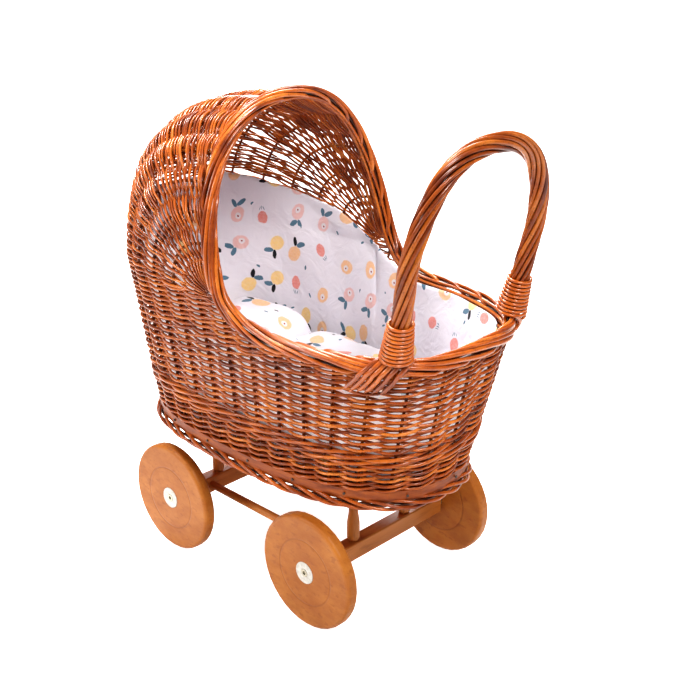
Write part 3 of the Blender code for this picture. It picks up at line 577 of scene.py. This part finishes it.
def border_line():
    """The border's middle line: foot end, far side, arch, near side."""
    inset = 0.003
    turns = np.linspace(0, np.pi / 2, 400)
    foot = basket_skin(turns, RIM_HEIGHT, inset)
    side = [point for point in foot if point[0] > BASKET_X + RIM_BEND_X]
    for x, height in bend_line(30):
        side.append(np.array([x, half_width(x, height, inset), height]))
    start = math.asin(((RIM_BEND_HEIGHT - BROW) / (ARCH_TOP - BROW)) ** (MOUTH_SQUARE / 2))
    for angle in np.linspace(start, np.pi / 2, 60)[1:]:
        height = BROW + (ARCH_TOP - BROW) * math.sin(angle) ** (2 / MOUTH_SQUARE)
        width = (HALF_WIDTH - inset) * math.cos(angle) ** (2 / MOUTH_SQUARE) if angle < np.pi / 2 - 1e-6 else 0.0
        side.append(np.array([arch_x(height), width, height]))
    side = np.array(side)
    other = side[::-1][1:-1] * np.array([1, -1, 1])
    line = np.vstack([side, other])
    closed = np.vstack([line, line[:1]])
    length = np.concatenate([[0], np.cumsum(np.linalg.norm(np.diff(closed, axis=0), axis=1))])
    even = np.linspace(0, length[-1], 900, endpoint=False)
    line = np.stack([np.interp(even, length, closed[:, axis]) for axis in range(3)], -1)
    kernel = np.hanning(23)
    padded = np.vstack([line[-11:], line, line[:11]])
    smooth = np.stack([np.convolve(padded[:, axis], kernel / kernel.sum(), "valid") for axis in range(3)], -1)
    return smooth, length[-1]


rim_line, rim_length = border_line()
rim_along = unit(np.roll(rim_line, -1, axis=0) - np.roll(rim_line, 1, axis=0))
rim_middle = np.array([BASKET_X, 0.0, BROW - 0.02])
rim_out = rim_line - rim_middle
rim_out[:, 2] = np.clip((rim_line[:, 2] - 0.34) / 0.1, 0, 1) * rim_out[:, 2] * 0.9
rim_out[:, 0] *= np.clip((0.40 - rim_line[:, 2]) / 0.08, 0.0, 1.0)
rim_out -= rim_along * np.sum(rim_out * rim_along, axis=1, keepdims=True)
rim_out = unit(rim_out)
rim_up = np.cross(rim_out, rim_along)
rim_up *= np.sign(rim_up[:1, 2:3])


def on_border(place, angle, out, up):
    """A point on the border's section: angle 0 faces outwards and a quarter turn faces up, or to the front."""
    spot = (np.asarray(place) % rim_length) / rim_length * len(rim_line)
    low = np.floor(spot).astype(int) % len(rim_line)
    share = (spot - np.floor(spot))[:, None]
    after = (low + 1) % len(rim_line)

    def between(values):
        return values[low] * (1 - share) + values[after] * share

    return (
        between(rim_line)
        + between(rim_out) * (out * np.cos(angle))[:, None]
        + between(rim_up) * (up * np.sin(angle))[:, None]
    )


BORDER_ROD = 0.0042
border_rods = []
for number in range(STAKES):
    start = rim_length * number / STAKES
    length = rim_length / STAKES * rng.uniform(4.7, 5.6)
    t = np.linspace(0, 1, 64)
    angle = np.interp(t, [0, 0.10, 0.28, 0.65, 1.0], np.radians([175, 112, 68, 14, -70])) + rng.normal(0, 0.10)
    wave = 1.08 - 0.20 * t + 0.05 * np.sin(t * 11 + rng.uniform(0, 6.28))
    sink = np.clip(np.minimum(t, 1 - t) / 0.06, 0, 1)
    out, up = 0.0054 * wave * (0.5 + 0.5 * sink), 0.0080 * wave * (0.6 + 0.4 * sink)
    swell = rng.uniform(0.84, 1.12) * (0.6 + 0.4 * sink)
    border_rods.append((on_border(start + length * t, angle, out, up), swell, False))
place = np.linspace(0, rim_length, 700, endpoint=False)
for angle, out, up, swell in ((180, 0.0056, 0.006, 0.8), (138, 0.0062, 0.0078, 0.75), (-120, 0.0045, 0.0075, 0.9)):
    wobble = np.radians(angle) + 0.10 * np.sin(place * 31 + angle)
    border_rods.append((on_border(place, wobble, out, up), swell, True))
border_core = [(on_border(place, 0 * place + side * 1.57, 0.0, 0.0037), 1.25, True) for side in (-1, 1)]
# The border's willow is painted 15% lighter than the wall's, as a painted highlight; its varnish is also heavier and
# glossier.
border_willow_painted_highlight = willow("willow_border_painted_highlight", 1.15, 0.90, 0.18)
make_rods("rim_border_rods", border_rods, BORDER_ROD, border_willow_painted_highlight, ["rim_border"], 8)
# The core willow is painted nearly black, as painted shade: it darkens the grooves of the border, the foot border and
# the handle.
core_willow_painted_shade = willow("willow_core_painted_shade", 0.22)
make_rods("rim_border_core", border_core, BORDER_ROD, core_willow_painted_shade)

# --- Foot border --------------------------------------------------------------------------------------------
# Under the board the stakes' lower ends are plaited into a low, open ring of four rods. Gaps show between them,
# and a thin rod runs through the middle.

FOOT_ROD, FOOT_STRANDS, FOOT_TWISTS, FOOT_POINTS = 0.0037, 4, 9, 640
foot_turns = turn_of(np.linspace(0, STAKES, FOOT_POINTS, endpoint=False))
foot_line = basket_skin(foot_turns, BOARD_UNDERSIDE, 0.0010)
foot_line[:, 2] = BOARD_UNDERSIDE - 0.0047
foot_along = unit(np.roll(foot_line, -1, axis=0) - np.roll(foot_line, 1, axis=0))
foot_out = unit(np.cross(foot_along, np.array([0, 0, 1.0])))
foot_rods = []
foot_count = np.arange(FOOT_POINTS) / FOOT_POINTS
for strand in range(FOOT_STRANDS):
    angle = -2 * np.pi * (foot_count * FOOT_TWISTS + strand / FOOT_STRANDS)
    squash = 1 + 0.12 * np.sin(foot_count * 2 * np.pi * 23 + strand)
    points = foot_line + foot_out * (0.0046 * np.cos(angle) * squash)[:, None]
    points[:, 2] += 0.0042 * np.sin(angle)
    foot_rods.append((points, 1 + 0.08 * np.sin(foot_count * 2 * np.pi * 7 + strand), True))
make_rods("foot_border_rods", foot_rods, FOOT_ROD, wall_willow, ["foot_border"], 8)
# The foot border's middle rod takes the core willow, painted nearly black as painted shade between the rods.
make_rods("foot_border_core", [(foot_line, 0.7, True)], FOOT_ROD, core_willow_painted_shade)

# --- Handle -------------------------------------------------------------------------------------------------
# Ten stout rods twisted like a rope round a core and bent into a bow. A thin rod is wound round each foot, and
# below it the rods' ends splay over the border and are worked into the wall.

BOW_HALF_WIDTH, BOW_SPRING, BOW_TOP, BOW_SQUARE = 0.0909, 0.4015, 0.5055, 2.35


def handle_x(height):
    """The bow leans towards the foot end and curls back a little at its top."""
    curl = np.clip((height - 0.44) / 0.075, 0, None) ** 2
    return BASKET_X + 0.2030 + 0.195 * (height - 0.31525) - 0.0045 * curl


def handle_line():
    """The bow's middle line from the near foot, over the top, to the far foot."""
    low = np.array([[0.0850, 0.3190], [0.0862, 0.345], [0.0887, 0.375]])
    side = [(y, z) for y, z in low]
    for angle in np.linspace(0, np.pi / 2, 60):
        y = BOW_HALF_WIDTH * max(math.cos(angle), 0.0) ** (2 / BOW_SQUARE)
        z = BOW_SPRING + (BOW_TOP - BOW_SPRING) * math.sin(angle) ** (2 / BOW_SQUARE)
        side.append((y, z))
    side[-1] = (0.0, BOW_TOP)
    half = np.array([[handle_x(z), y, z] for y, z in side])
    near = half * np.array([1, -1, 1])
    line = np.vstack([near, half[::-1][1:]])
    length = np.concatenate([[0], np.cumsum(np.linalg.norm(np.diff(line, axis=0), axis=1))])
    even = np.linspace(0, length[-1], 260)
    line = np.stack([np.interp(even, length, line[:, axis]) for axis in range(3)], -1)
    kernel = np.hanning(15)
    padded = np.vstack([line[:1]] * 7 + [line] + [line[-1:]] * 7)
    smooth = np.stack([np.convolve(padded[:, axis], kernel / kernel.sum(), "valid") for axis in range(3)], -1)
    return smooth, length[-1]


bow, bow_length = handle_line()
bow_along = unit(np.gradient(bow, axis=0))
forward = np.array([1.0, 0.0, -0.1])
bow_front = unit(forward - bow_along * (bow_along @ forward)[:, None])
bow_side = np.cross(bow_along, bow_front)
HANDLE_ROD, HANDLE_STRANDS, TWIST_LENGTH, TWIST_RADIUS = 0.0040, 10, 0.215, 0.0074
handle_rods = []
bow_place = np.linspace(0, bow_length, len(bow))
for strand in range(HANDLE_STRANDS):
    angle = 2 * np.pi * (strand / HANDLE_STRANDS + bow_place / TWIST_LENGTH)
    spread = TWIST_RADIUS * (1 + 0.05 * np.sin(bow_place * 31 + strand * 2.1))
    points = bow + bow_front * (spread * np.cos(angle))[:, None] + bow_side * (spread * np.sin(angle))[:, None]
    swell = rng.uniform(0.9, 1.1) * (1 + 0.05 * np.sin(bow_place * 23 + strand))
    handle_rods.append((points, swell, False))
make_rods("handle_rods", handle_rods, HANDLE_ROD, willow("willow_handle", 0.80), ["handle"], 10)
# The handle's core takes the same willow, painted nearly black as painted shade in the grooves between the strands.
make_rods("handle_core", [(bow, 2.1, False)], HANDLE_ROD, core_willow_painted_shade, (), 10)

BINDING_ROD, BINDING_TURNS, BINDING_HEIGHT, TAIL_ROD, TAILS = 0.0030, 10.5, 0.040, 0.0046, 6
for side in SIDES:
    order = slice(None) if side == "near" else slice(None, None, -1)
    line = bow[order]
    foot, along = line[0], unit(line[28] - line[0])
    front = unit(np.array([1.0, 0, 0]) - along * along[0])
    beside = np.cross(along, front)
    turns = np.linspace(0, BINDING_TURNS, 260)
    climb = -0.004 + turns / BINDING_TURNS * BINDING_HEIGHT
    spread = 0.0112 + 0.0034 * np.clip(1 - climb / 0.034, 0, 1.2)
    swing = turns * 2 * np.pi
    points = foot + along * climb[:, None]
    points = points + front * (spread * np.cos(swing))[:, None] + beside * (spread * np.sin(swing))[:, None]
    binding = [(points, 1 + 0.08 * np.sin(turns * 2.0), False)]
    # The binding and the tails below use the border's willow, painted lighter as a painted highlight.
    make_rods("handle_binding_rod_" + side, binding, BINDING_ROD, border_willow_painted_highlight, ["handle_binding_" + side], 8)
    mirror = -1 if side == "near" else 1
    tails = []
    for tail in range(TAILS):
        share = (tail - 2.5) / 5
        t = np.linspace(0, 1, 40)
        x = handle_x(0.316) - 0.002 + share * 0.021 - 0.030 * t**1.15 + share * 0.010 * t
        round_rim = np.interp(t, [0, 0.55, 1.0], np.radians([70, -25, -60]))
        height = RIM_HEIGHT + 0.0125 * np.sin(round_rim) - np.clip(t - 0.5, 0, 1) * 0.030
        width = np.array([half_width(a, min(b, RIM_HEIGHT), 0.003) for a, b in zip(x, height)])
        out = 0.0098 * np.cos(round_rim) + 0.0015 - np.clip(t - 0.6, 0, 1) * 0.004
        slope = (half_width(x[0] - 0.01, RIM_HEIGHT, 0.003) - half_width(x[0] + 0.01, RIM_HEIGHT, 0.003)) / 0.02
        across = np.array([slope, 1.0]) / math.hypot(slope, 1.0)
        points = np.stack([x + out * across[0], mirror * (width + out * across[1]), height], -1)
        tails.append((points, np.clip((1 - t) / 0.12, 0.25, 1) * rng.uniform(0.92, 1.08), False))
    make_rods("handle_tail_rods_" + side, tails, TAIL_ROD, border_willow_painted_highlight, ["handle_tails_" + side], 8)

# --- Bedding ------------------------------------------------------------------------------------------------
# White cotton printed with small painted fruit. The lining is a bag with a hemmed edge, drawn up inside the wall
# and the hood; a foam mattress lies in it, with a stuffed pillow at the hood and a duvet on top.

fruit, fruit_in, fruit_out = new_group(
    "fruit_print",
    [("Cloth", "NodeSocketVector", None)],
    [("Colour", "NodeSocketColor"), ("Height", "NodeSocketFloat")],
)


def vector_step(tree, operation, first, second=None):
    """One step of arithmetic on places."""
    node = tree.nodes.new("ShaderNodeVectorMath")
    node.operation = operation
    second_slot = node.inputs["Scale"] if operation == "SCALE" else node.inputs[1]
    for slot, value in ((node.inputs[0], first), (second_slot, second)):
        if isinstance(value, bpy.types.NodeSocket):
            tree.links.new(value, slot)
        elif value is not None:
            slot.default_value = value
    return node.outputs["Value"] if operation in ("LENGTH", "DISTANCE") else node.outputs["Vector"]


def scattered(tree, cloth, spacing, randomness, offset):
    """One motif place in each cell: the place measured from the motif's middle, and the cell's three chances."""
    cells = tree.nodes.new("ShaderNodeTexVoronoi")
    cells.voronoi_dimensions = "2D"
    cells.inputs["Scale"].default_value = 1.0
    cells.inputs["Randomness"].default_value = randomness
    spread = vector_step(tree, "ADD", vector_step(tree, "SCALE", cloth, 1 / spacing), offset)
    tree.links.new(spread, cells.inputs["Vector"])
    local = vector_step(tree, "SCALE", vector_step(tree, "SUBTRACT", spread, cells.outputs["Position"]), spacing)
    chance = tree.nodes.new("ShaderNodeSeparateColor")
    tree.links.new(cells.outputs["Color"], chance.inputs[0])
    turned = tree.nodes.new("ShaderNodeVectorRotate")
    turned.rotation_type = "Z_AXIS"
    tree.links.new(local, turned.inputs["Vector"])
    tree.links.new(sum_node(tree, "MULTIPLY", chance.outputs[1], 6.28), turned.inputs["Angle"])
    return turned.outputs[0], chance.outputs


def blot(tree, place, middle, radii, angle=0.0, soft=0.12):
    """A painted oval, 1 inside and 0 outside."""
    moved = vector_step(tree, "SUBTRACT", place, middle)
    turn = tree.nodes.new("ShaderNodeVectorRotate")
    turn.rotation_type = "Z_AXIS"
    turn.inputs["Angle"].default_value = angle
    tree.links.new(moved, turn.inputs["Vector"])
    scaled = vector_step(tree, "MULTIPLY", turn.outputs[0], (1 / radii[0], 1 / radii[1], 0.0))
    size = vector_step(tree, "LENGTH", scaled)
    return sum_node(tree, "DIVIDE", sum_node(tree, "SUBTRACT", 1.0, size), soft, clamp=True)


cloth = fruit_in.outputs["Cloth"]
wash = noise_node(fruit, cloth, 330.0, 3.0)
wobble = fruit.nodes.new("ShaderNodeTexNoise")
wobble.inputs["Scale"].default_value = 210.0
fruit.links.new(cloth, wobble.inputs["Vector"])
shift = vector_step(fruit, "SCALE", vector_step(fruit, "SUBTRACT", wobble.outputs["Color"], (0.5, 0.5, 0.5)), 0.0022)
painted = vector_step(fruit, "ADD", cloth, shift)
place, chance = scattered(fruit, painted, 0.042, 0.48, (0.3, 0.7, 0.0))
local = vector_step(fruit, "SCALE", place, 0.72)
kind = chance[0]
YELLOW, ORANGE, PINK, RED = (0.90, 0.60, 0.17), (0.87, 0.48, 0.20), (0.80, 0.47, 0.46), (0.74, 0.16, 0.13)
SLATE, BLACK, WHITE = (0.105, 0.20, 0.28), (0.010, 0.010, 0.016), (0.79, 0.775, 0.84)
body_colour = graded(
    fruit, kind, [(0.0, YELLOW), (0.24, PINK), (0.50, ORANGE), (0.70, RED), (0.86, ORANGE)], "CONSTANT"
)
is_round = graded(fruit, kind, [(0.0, (0, 0, 0)), (0.24, (1, 1, 1)), (0.70, (0, 0, 0))], "CONSTANT")
is_red = graded(fruit, kind, [(0.0, (0, 0, 0)), (0.70, (1, 1, 1)), (0.86, (0, 0, 0))], "CONSTANT")
has_leaf = graded(fruit, kind, [(0.0, (1, 1, 1)), (0.50, (0, 0, 0)), (0.86, (1, 1, 1))], "CONSTANT")
first_leaf = graded(fruit, kind, [(0.0, BLACK), (0.24, SLATE), (0.86, BLACK)], "CONSTANT")
large = blot(fruit, local, (0, 0, 0), (0.0078, 0.0062))
small = blot(fruit, local, (0, 0, 0), (0.0050, 0.0060))
body = sum_node(fruit, "MAXIMUM", small, sum_node(fruit, "MULTIPLY", large, sum_node(fruit, "SUBTRACT", 1.0, is_red)))
washed = colour_mix(fruit, sum_node(fruit, "MULTIPLY", wash, 0.5), body_colour, (0.83, 0.76, 0.72, 1))
print_colour = colour_mix(fruit, body, (*WHITE, 1), washed)
heart = sum_node(fruit, "MULTIPLY", blot(fruit, local, (0.0012, -0.001, 0), (0.0031, 0.0027)), is_round)
print_colour = colour_mix(fruit, heart, print_colour, (0.80, 0.74, 0.76, 1))
stone = sum_node(fruit, "MULTIPLY", blot(fruit, local, (0.0014, -0.0012, 0), (0.0010, 0.0010), 0, 0.4), is_round)
print_colour = colour_mix(fruit, stone, print_colour, (0.28, 0.03, 0.03, 1))
leaf_a = sum_node(fruit, "MULTIPLY", blot(fruit, local, (-0.0082, 0.0068, 0), (0.0042, 0.0021), 0.9), has_leaf)
leaf_b = sum_node(fruit, "MULTIPLY", blot(fruit, local, (-0.0112, 0.0010, 0), (0.0050, 0.0023), -0.5), has_leaf)
print_colour = colour_mix(fruit, leaf_a, print_colour, first_leaf)
print_colour = colour_mix(fruit, leaf_b, print_colour, (*SLATE, 1))
for middle, angle in (((0.0018, 0.0082, 0), 1.9), ((0.0, 0.0086, 0), 1.57), ((-0.0018, 0.0082, 0), 1.24)):
    stem = blot(fruit, local, middle, (0.0022, 0.00042), -angle, 0.4)
    print_colour = colour_mix(fruit, sum_node(fruit, "MULTIPLY", stem, is_red), print_colour, (*SLATE, 1))
sprig, sprig_chance = scattered(fruit, painted, 0.024, 0.9, (4.1, 2.3, 0.0))
clear = sum_node(fruit, "GREATER_THAN", vector_step(fruit, "LENGTH", local), 0.0150)
shown = sum_node(fruit, "MULTIPLY", clear, sum_node(fruit, "GREATER_THAN", sprig_chance[0], 0.55))
sprig_blot = sum_node(fruit, "MULTIPLY", blot(fruit, sprig, (0, 0, 0), (0.0031, 0.0014), 0.4), shown)
sprig_tint = graded(fruit, sprig_chance[2], [(0.0, SLATE), (0.7, BLACK)], "CONSTANT")
print_colour = colour_mix(fruit, sprig_blot, print_colour, sprig_tint)
fruit.links.new(print_colour, fruit_out.inputs["Colour"])
threads = fruit.nodes.new("ShaderNodeTexNoise")
threads.inputs["Scale"].default_value = 2600.0
fruit.links.new(cloth, threads.inputs["Vector"])
crease = fruit.nodes.new("ShaderNodeTexNoise")
crease.inputs["Scale"].default_value = 38.0
crease.inputs["Detail"].default_value = 2.5
crease.inputs["Distortion"].default_value = 1.4
fruit.links.new(cloth, crease.inputs["Vector"])
fruit.links.new(
    sum_node(fruit, "MULTIPLY_ADD", threads.outputs["Fac"], 0.04, crease.outputs["Fac"]), fruit_out.inputs["Height"]
)


def cotton(name, shift, painted_glow=0.0):
    """Printed cotton; the last argument sets a painted glow on the lining's outer face above the mattress, standing
    in for daylight through the cloth.
    """
    made, tree, shader = new_material(name, 0.9, specular=0.2)
    shader.inputs["Sheen Weight"].default_value = 0.25
    shader.inputs["Sheen Roughness"].default_value = 0.5
    shader.inputs["Emission Color"].default_value = (1.0, 0.99, 1.0, 1)
    # The glow is emission from the cloth itself: painted light, with no lamp behind it.
    if painted_glow:
        level = tree.nodes.new("ShaderNodeSeparateXYZ")
        tree.links.new(object_place(tree, (1, 1, 1)), level.inputs[0])
        rise = sum_node(tree, "MULTIPLY", sum_node(tree, "SUBTRACT", level.outputs["Z"], 0.200), 90.0, clamp=True)
        tree.links.new(sum_node(tree, "MULTIPLY", rise, painted_glow), shader.inputs["Emission Strength"])
    weave = tree.nodes.new("ShaderNodeUVMap")
    mapping = tree.nodes.new("ShaderNodeMapping")
    mapping.inputs["Location"].default_value = shift
    tree.links.new(weave.outputs[0], mapping.inputs["Vector"])
    printed = place_group(tree, fruit)
    tree.links.new(mapping.outputs[0], printed.inputs["Cloth"])
    tree.links.new(printed.outputs["Colour"], shader.inputs["Base Color"])
    raise_surface(tree, shader, printed.outputs["Height"], 0.55, 0.0035)
    return made


def liner_edge(x):
    """Height of the lining's upper edge: level round the foot, then up the hood's side and across its back."""
    places = [-0.208, -0.159, -0.121, -0.078, -0.048, -0.017, 0.014, 0.040]
    heights = [0.394, 0.380, 0.371, 0.364, 0.349, 0.334, 0.316, 0.3065]
    return float(np.interp(x, places, heights))


def wall_point(turn, along, inset):
    """The wall's inner face: up the basket by height, then over the hood by its lean."""
    if along <= BROW or math.cos(turn) > 0:
        return basket_skin(np.array([turn]), along, inset)[0]
    return hood_skin(np.array([turn]), (along - BROW) / 0.20, inset)[0]


LINER_INSET, LINER_COLUMNS, LINER_ROWS, LINER_FOOT, FOOT_EDGE = 0.0108, 192, 40, 0.166, 0.3063
bm = bmesh.new()
uv_values = {}
grid = []
for column in range(LINER_COLUMNS):
    turn = turn_of(column / LINER_COLUMNS * STAKES)
    limit = FOOT_EDGE
    if math.cos(turn) < 0.5:
        for along in np.linspace(0.300, BROW + 0.20 * 0.75, 260):
            spot = wall_point(turn, along, LINER_INSET)
            if spot[2] > liner_edge(spot[0]):
                break
            limit = along
    rows = []
    travelled = 0.0
    before = None
    for row in range(LINER_ROWS + 1):
        along = LINER_FOOT + (limit - LINER_FOOT) * row / LINER_ROWS
        broad_fold = 0.0012 * math.sin(column * 0.17 + row * 0.11 + math.sin(row * 0.2))
        pull = broad_fold + 0.0009 * math.sin(column * 0.47 - row * 0.23)
        spot = Vector(wall_point(turn, along, LINER_INSET + 0.0016 + pull))
        if before is not None:
            travelled += (spot - before).length
        before = spot
        vert = bm.verts.new(spot)
        uv_values[vert] = (column, travelled)
        rows.append(vert)
    grid.append(rows)
cloth_uv = bm.loops.layers.uv.new("UVMap")
column_step = brow_length[-1] / LINER_COLUMNS
for column in range(LINER_COLUMNS):
    after = (column + 1) % LINER_COLUMNS
    for row in range(LINER_ROWS):
        corners = (grid[column][row], grid[after][row], grid[after][row + 1], grid[column][row + 1])
        face = bm.faces.new(corners[::-1])
        face.smooth = True
        for loop in face.loops:
            number, travelled = uv_values[loop.vert]
            if after == 0 and number == 0:
                number = LINER_COLUMNS
            loop[cloth_uv].uv = (number * column_step, travelled)
liner_mesh = bpy.data.meshes.new("liner_cloth")
bm.to_mesh(liner_mesh)
bm.free()
liner = bpy.data.objects.new("liner_cloth", liner_mesh)
bpy.context.scene.collection.objects.link(liner)
liner_mesh.materials.append(cotton("cotton_lining", (0.011, 0.006, 0)))
# The lining's outer face glows above the mattress: a painted glow standing in for daylight through the cloth.
liner_mesh.materials.append(cotton("cotton_lining_outside_glow", (0.011, 0.006, 0), 0.38))
wall = liner.modifiers.new("cloth", "SOLIDIFY")
wall.thickness, wall.offset, wall.material_offset, wall.material_offset_rim = 0.0009, 0.0, 1, 0
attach(liner, "pram")
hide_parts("liner")


MOST_SWELL = 0.005


def stuffed(name, source, shift, remesh, pressure, top_wave):
    """A stuffed cloth piece that starts as its plain solid and swells under the filling's pressure."""
    piece = nodes[source].copy()
    piece.data = nodes[source].data.copy()
    piece.name = name
    bpy.context.scene.collection.objects.link(piece)
    piece.parent = None
    piece.matrix_world = Matrix.Identity(4)
    bpy.ops.object.select_all(action="DESELECT")
    piece.select_set(True)
    bpy.context.view_layer.objects.active = piece
    body = bmesh.new()
    body.from_mesh(piece.data)
    bmesh.ops.remove_doubles(body, verts=body.verts, dist=0.00001)
    middle = sum((vert.co for vert in body.verts), Vector()) / len(body.verts)
    for vert in body.verts:
        vert.co = middle + (vert.co - middle) * 0.97
    body.to_mesh(piece.data)
    body.free()
    thin = piece.modifiers.new("even", "REMESH")
    thin.mode, thin.voxel_size = "VOXEL", remesh
    bpy.ops.object.modifier_apply(modifier="even")
    points = np.empty(len(piece.data.vertices) * 3)
    piece.data.vertices.foreach_get("co", points)
    start = points.reshape(-1, 3).copy()
    cloth = piece.modifiers.new("swell", "CLOTH")
    cloth.settings.use_pressure = True
    cloth.settings.uniform_pressure_force = pressure
    cloth.settings.effector_weights.gravity = 0.0
    cloth.settings.quality = 5
    cloth.settings.tension_stiffness = 8
    cloth.settings.compression_stiffness = 8
    for step in range(1, 19):
        bpy.context.scene.frame_set(step)
    bpy.ops.object.modifier_apply(modifier="swell")
    piece.data.vertices.foreach_get("co", points)
    bpy.context.scene.frame_set(1)
    moved = points.reshape(-1, 3) - start
    far = np.linalg.norm(moved, axis=1, keepdims=True)
    spots = start + moved * np.minimum(1, MOST_SWELL / np.maximum(far, 1e-9))
    underside = start[:, 2].min()
    share = np.clip((spots[:, 2] - underside) / max(start[:, 2].max() - underside, 1e-6), 0, 1)
    spots[:, 2] += share * top_wave(spots[:, 0], spots[:, 1])
    spots[:, 2] = np.maximum(spots[:, 2], underside)
    piece.data.vertices.foreach_set("co", spots.ravel())
    piece.data.update()
    smooth = piece.modifiers.new("smooth", "SUBSURF")
    smooth.levels = smooth.render_levels = 1
    bpy.ops.object.modifier_apply(modifier="smooth")
    bpy.ops.object.shade_smooth()
    body = bmesh.new()
    body.from_mesh(piece.data)
    level = sum(vert.co.z for vert in body.verts) / len(body.verts)
    for edge in body.edges:
        edge.seam = (edge.link_faces[0].calc_center_median().z > level) != (
            edge.link_faces[1].calc_center_median().z > level
        )
    body.to_mesh(piece.data)
    body.free()
    bpy.ops.object.mode_set(mode="EDIT")
    bpy.ops.mesh.select_all(action="SELECT")
    bpy.ops.uv.unwrap(method="ANGLE_BASED", margin=0.0)
    bpy.ops.object.mode_set(mode="OBJECT")
    layer = piece.data.uv_layers.active
    flat = np.empty(len(piece.data.loops) * 2)
    layer.data.foreach_get("uv", flat)
    flat = flat.reshape(-1, 2)
    drawn = 0.0
    for face in piece.data.polygons:
        corner, after, beyond = flat[face.loop_start : face.loop_start + 3]
        drawn += abs(np.cross(after - corner, beyond - corner))
    real = sum(face.area for face in piece.data.polygons)
    layer.data.foreach_set("uv", (flat * math.sqrt(real / drawn)).ravel())
    piece.data.materials.clear()
    piece.data.materials.append(cotton("cotton_" + name, shift))
    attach(piece, "pram")
    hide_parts(source)
    return piece


def no_wave(x, y):
    """The mattress stays flat."""
    return 0 * x


def pillow_wave(x, y):
    """Soft creases, with the front edge pressed down."""
    folds = 0.0022 * np.sin(x * 95 + y * 60 + 2 * np.sin(y * 40)) + 0.0012 * np.sin(y * 150 - x * 80)
    return folds - 0.32 * np.clip(x + 0.125, 0, 0.1)


def duvet_wave(x, y):
    """Plumped in the middle, with soft folds across it and a puckered edge."""
    crown = 0.015 * np.exp(-(((x + 0.050) / 0.026) ** 2) - (((y + 0.025) / 0.07) ** 2))
    folds = 0.0025 * np.sin(x * 85 + y * 48 + 2 * np.sin(y * 35)) + 0.0015 * np.sin(y * 140 - x * 60)
    return crown + folds


stuffed("mattress_pad", "mattress", (0.02, 0.01, 0), 0.008, 1.0, no_wave)
stuffed("pillow_cushion", "pillow", (0.005, 0.013, 0), 0.006, 1.6, pillow_wave)
stuffed("duvet_cushion", "duvet", (0.017, 0.004, 0), 0.006, 1.6, duvet_wave)

# --- Floor, light and camera --------------------------------------------------------------------------------
# White studio floor running on to a white surround. The broad key light stands above the foot end, with a top light
# over the hood, a window light behind it and a fill beside the near wheels.

bpy.ops.mesh.primitive_plane_add(size=12.0, location=(0, 0, -0.0002))
floor = bpy.context.object
floor.name = "floor"
paper, tree, shader = new_material("studio_paper", 0.9, specular=0.1)
shader.inputs["Emission Color"].default_value = (1.0, 1.0, 1.0, 1)
looked_at = tree.nodes.new("ShaderNodeLightPath")
whitened = sum_node(tree, "MULTIPLY", looked_at.outputs["Is Camera Ray"], 0.75)
tree.links.new(whitened, shader.inputs["Emission Strength"])
speck = noise_node(tree, object_place(tree, (1, 1, 1)), 6.0, 2.0)
paper_white = graded(tree, speck, [(0.3, (0.93, 0.93, 0.93)), (0.7, (0.96, 0.96, 0.96))])
tree.links.new(paper_white, shader.inputs["Base Color"])
floor.data.materials.append(paper)

world = bpy.data.worlds.new("studio")
bpy.context.scene.world = world
world.use_nodes = True
surround = world.node_tree.nodes["Background"]
surround.inputs["Color"].default_value = (1.0, 0.99, 0.985, 1)
seen = world.node_tree.nodes.new("ShaderNodeLightPath")
strength = sum_node(world.node_tree, "MULTIPLY_ADD", seen.outputs["Is Camera Ray"], 0.76, 0.24)
world.node_tree.links.new(strength, surround.inputs["Strength"])


def soft_light(name, place, target, size, power, colour):
    """A round diffused lamp turned to its target."""
    bpy.ops.object.light_add(type="AREA", location=place)
    lamp = bpy.context.object
    lamp.name = name
    lamp.data.shape, lamp.data.size, lamp.data.energy, lamp.data.color = "DISK", size, power, colour
    lamp.rotation_euler = (Vector(place) - Vector(target)).to_track_quat("Z", "Y").to_euler()
    return lamp


soft_light("key", (1.15, -0.35, 1.75), (0, 0, 0.25), 0.6, 28, (1.0, 0.98, 0.95))
soft_light("top", (-0.75, 0.1, 1.85), (0, 0, 0.25), 0.5, 38, (1.0, 0.99, 0.98))
soft_light("window", (-1.3, 1.3, 1.3), (0, 0, 0.35), 0.8, 28, (1.0, 1.0, 1.0))
soft_light("fill", (-1.0, -1.7, 1.2), (0, 0, 0.25), 0.7, 21, (1.0, 0.99, 0.98))

azimuth, elevation = math.radians(44.45), math.radians(22.14)
back = Vector(
    (math.sin(azimuth) * math.cos(elevation), -math.cos(azimuth) * math.cos(elevation), math.sin(elevation))
)
bpy.ops.object.camera_add(location=(0.8500, -0.8297, 0.7421), rotation=back.to_track_quat("Z", "Y").to_euler())
camera = bpy.context.object
camera.data.lens, camera.data.sensor_width, camera.data.clip_start = 63.98, 36.0, 0.01
bpy.context.scene.camera = camera
bpy.context.scene.view_settings.view_transform = "Standard"
bpy.context.scene.view_settings.look = "Medium High Contrast"
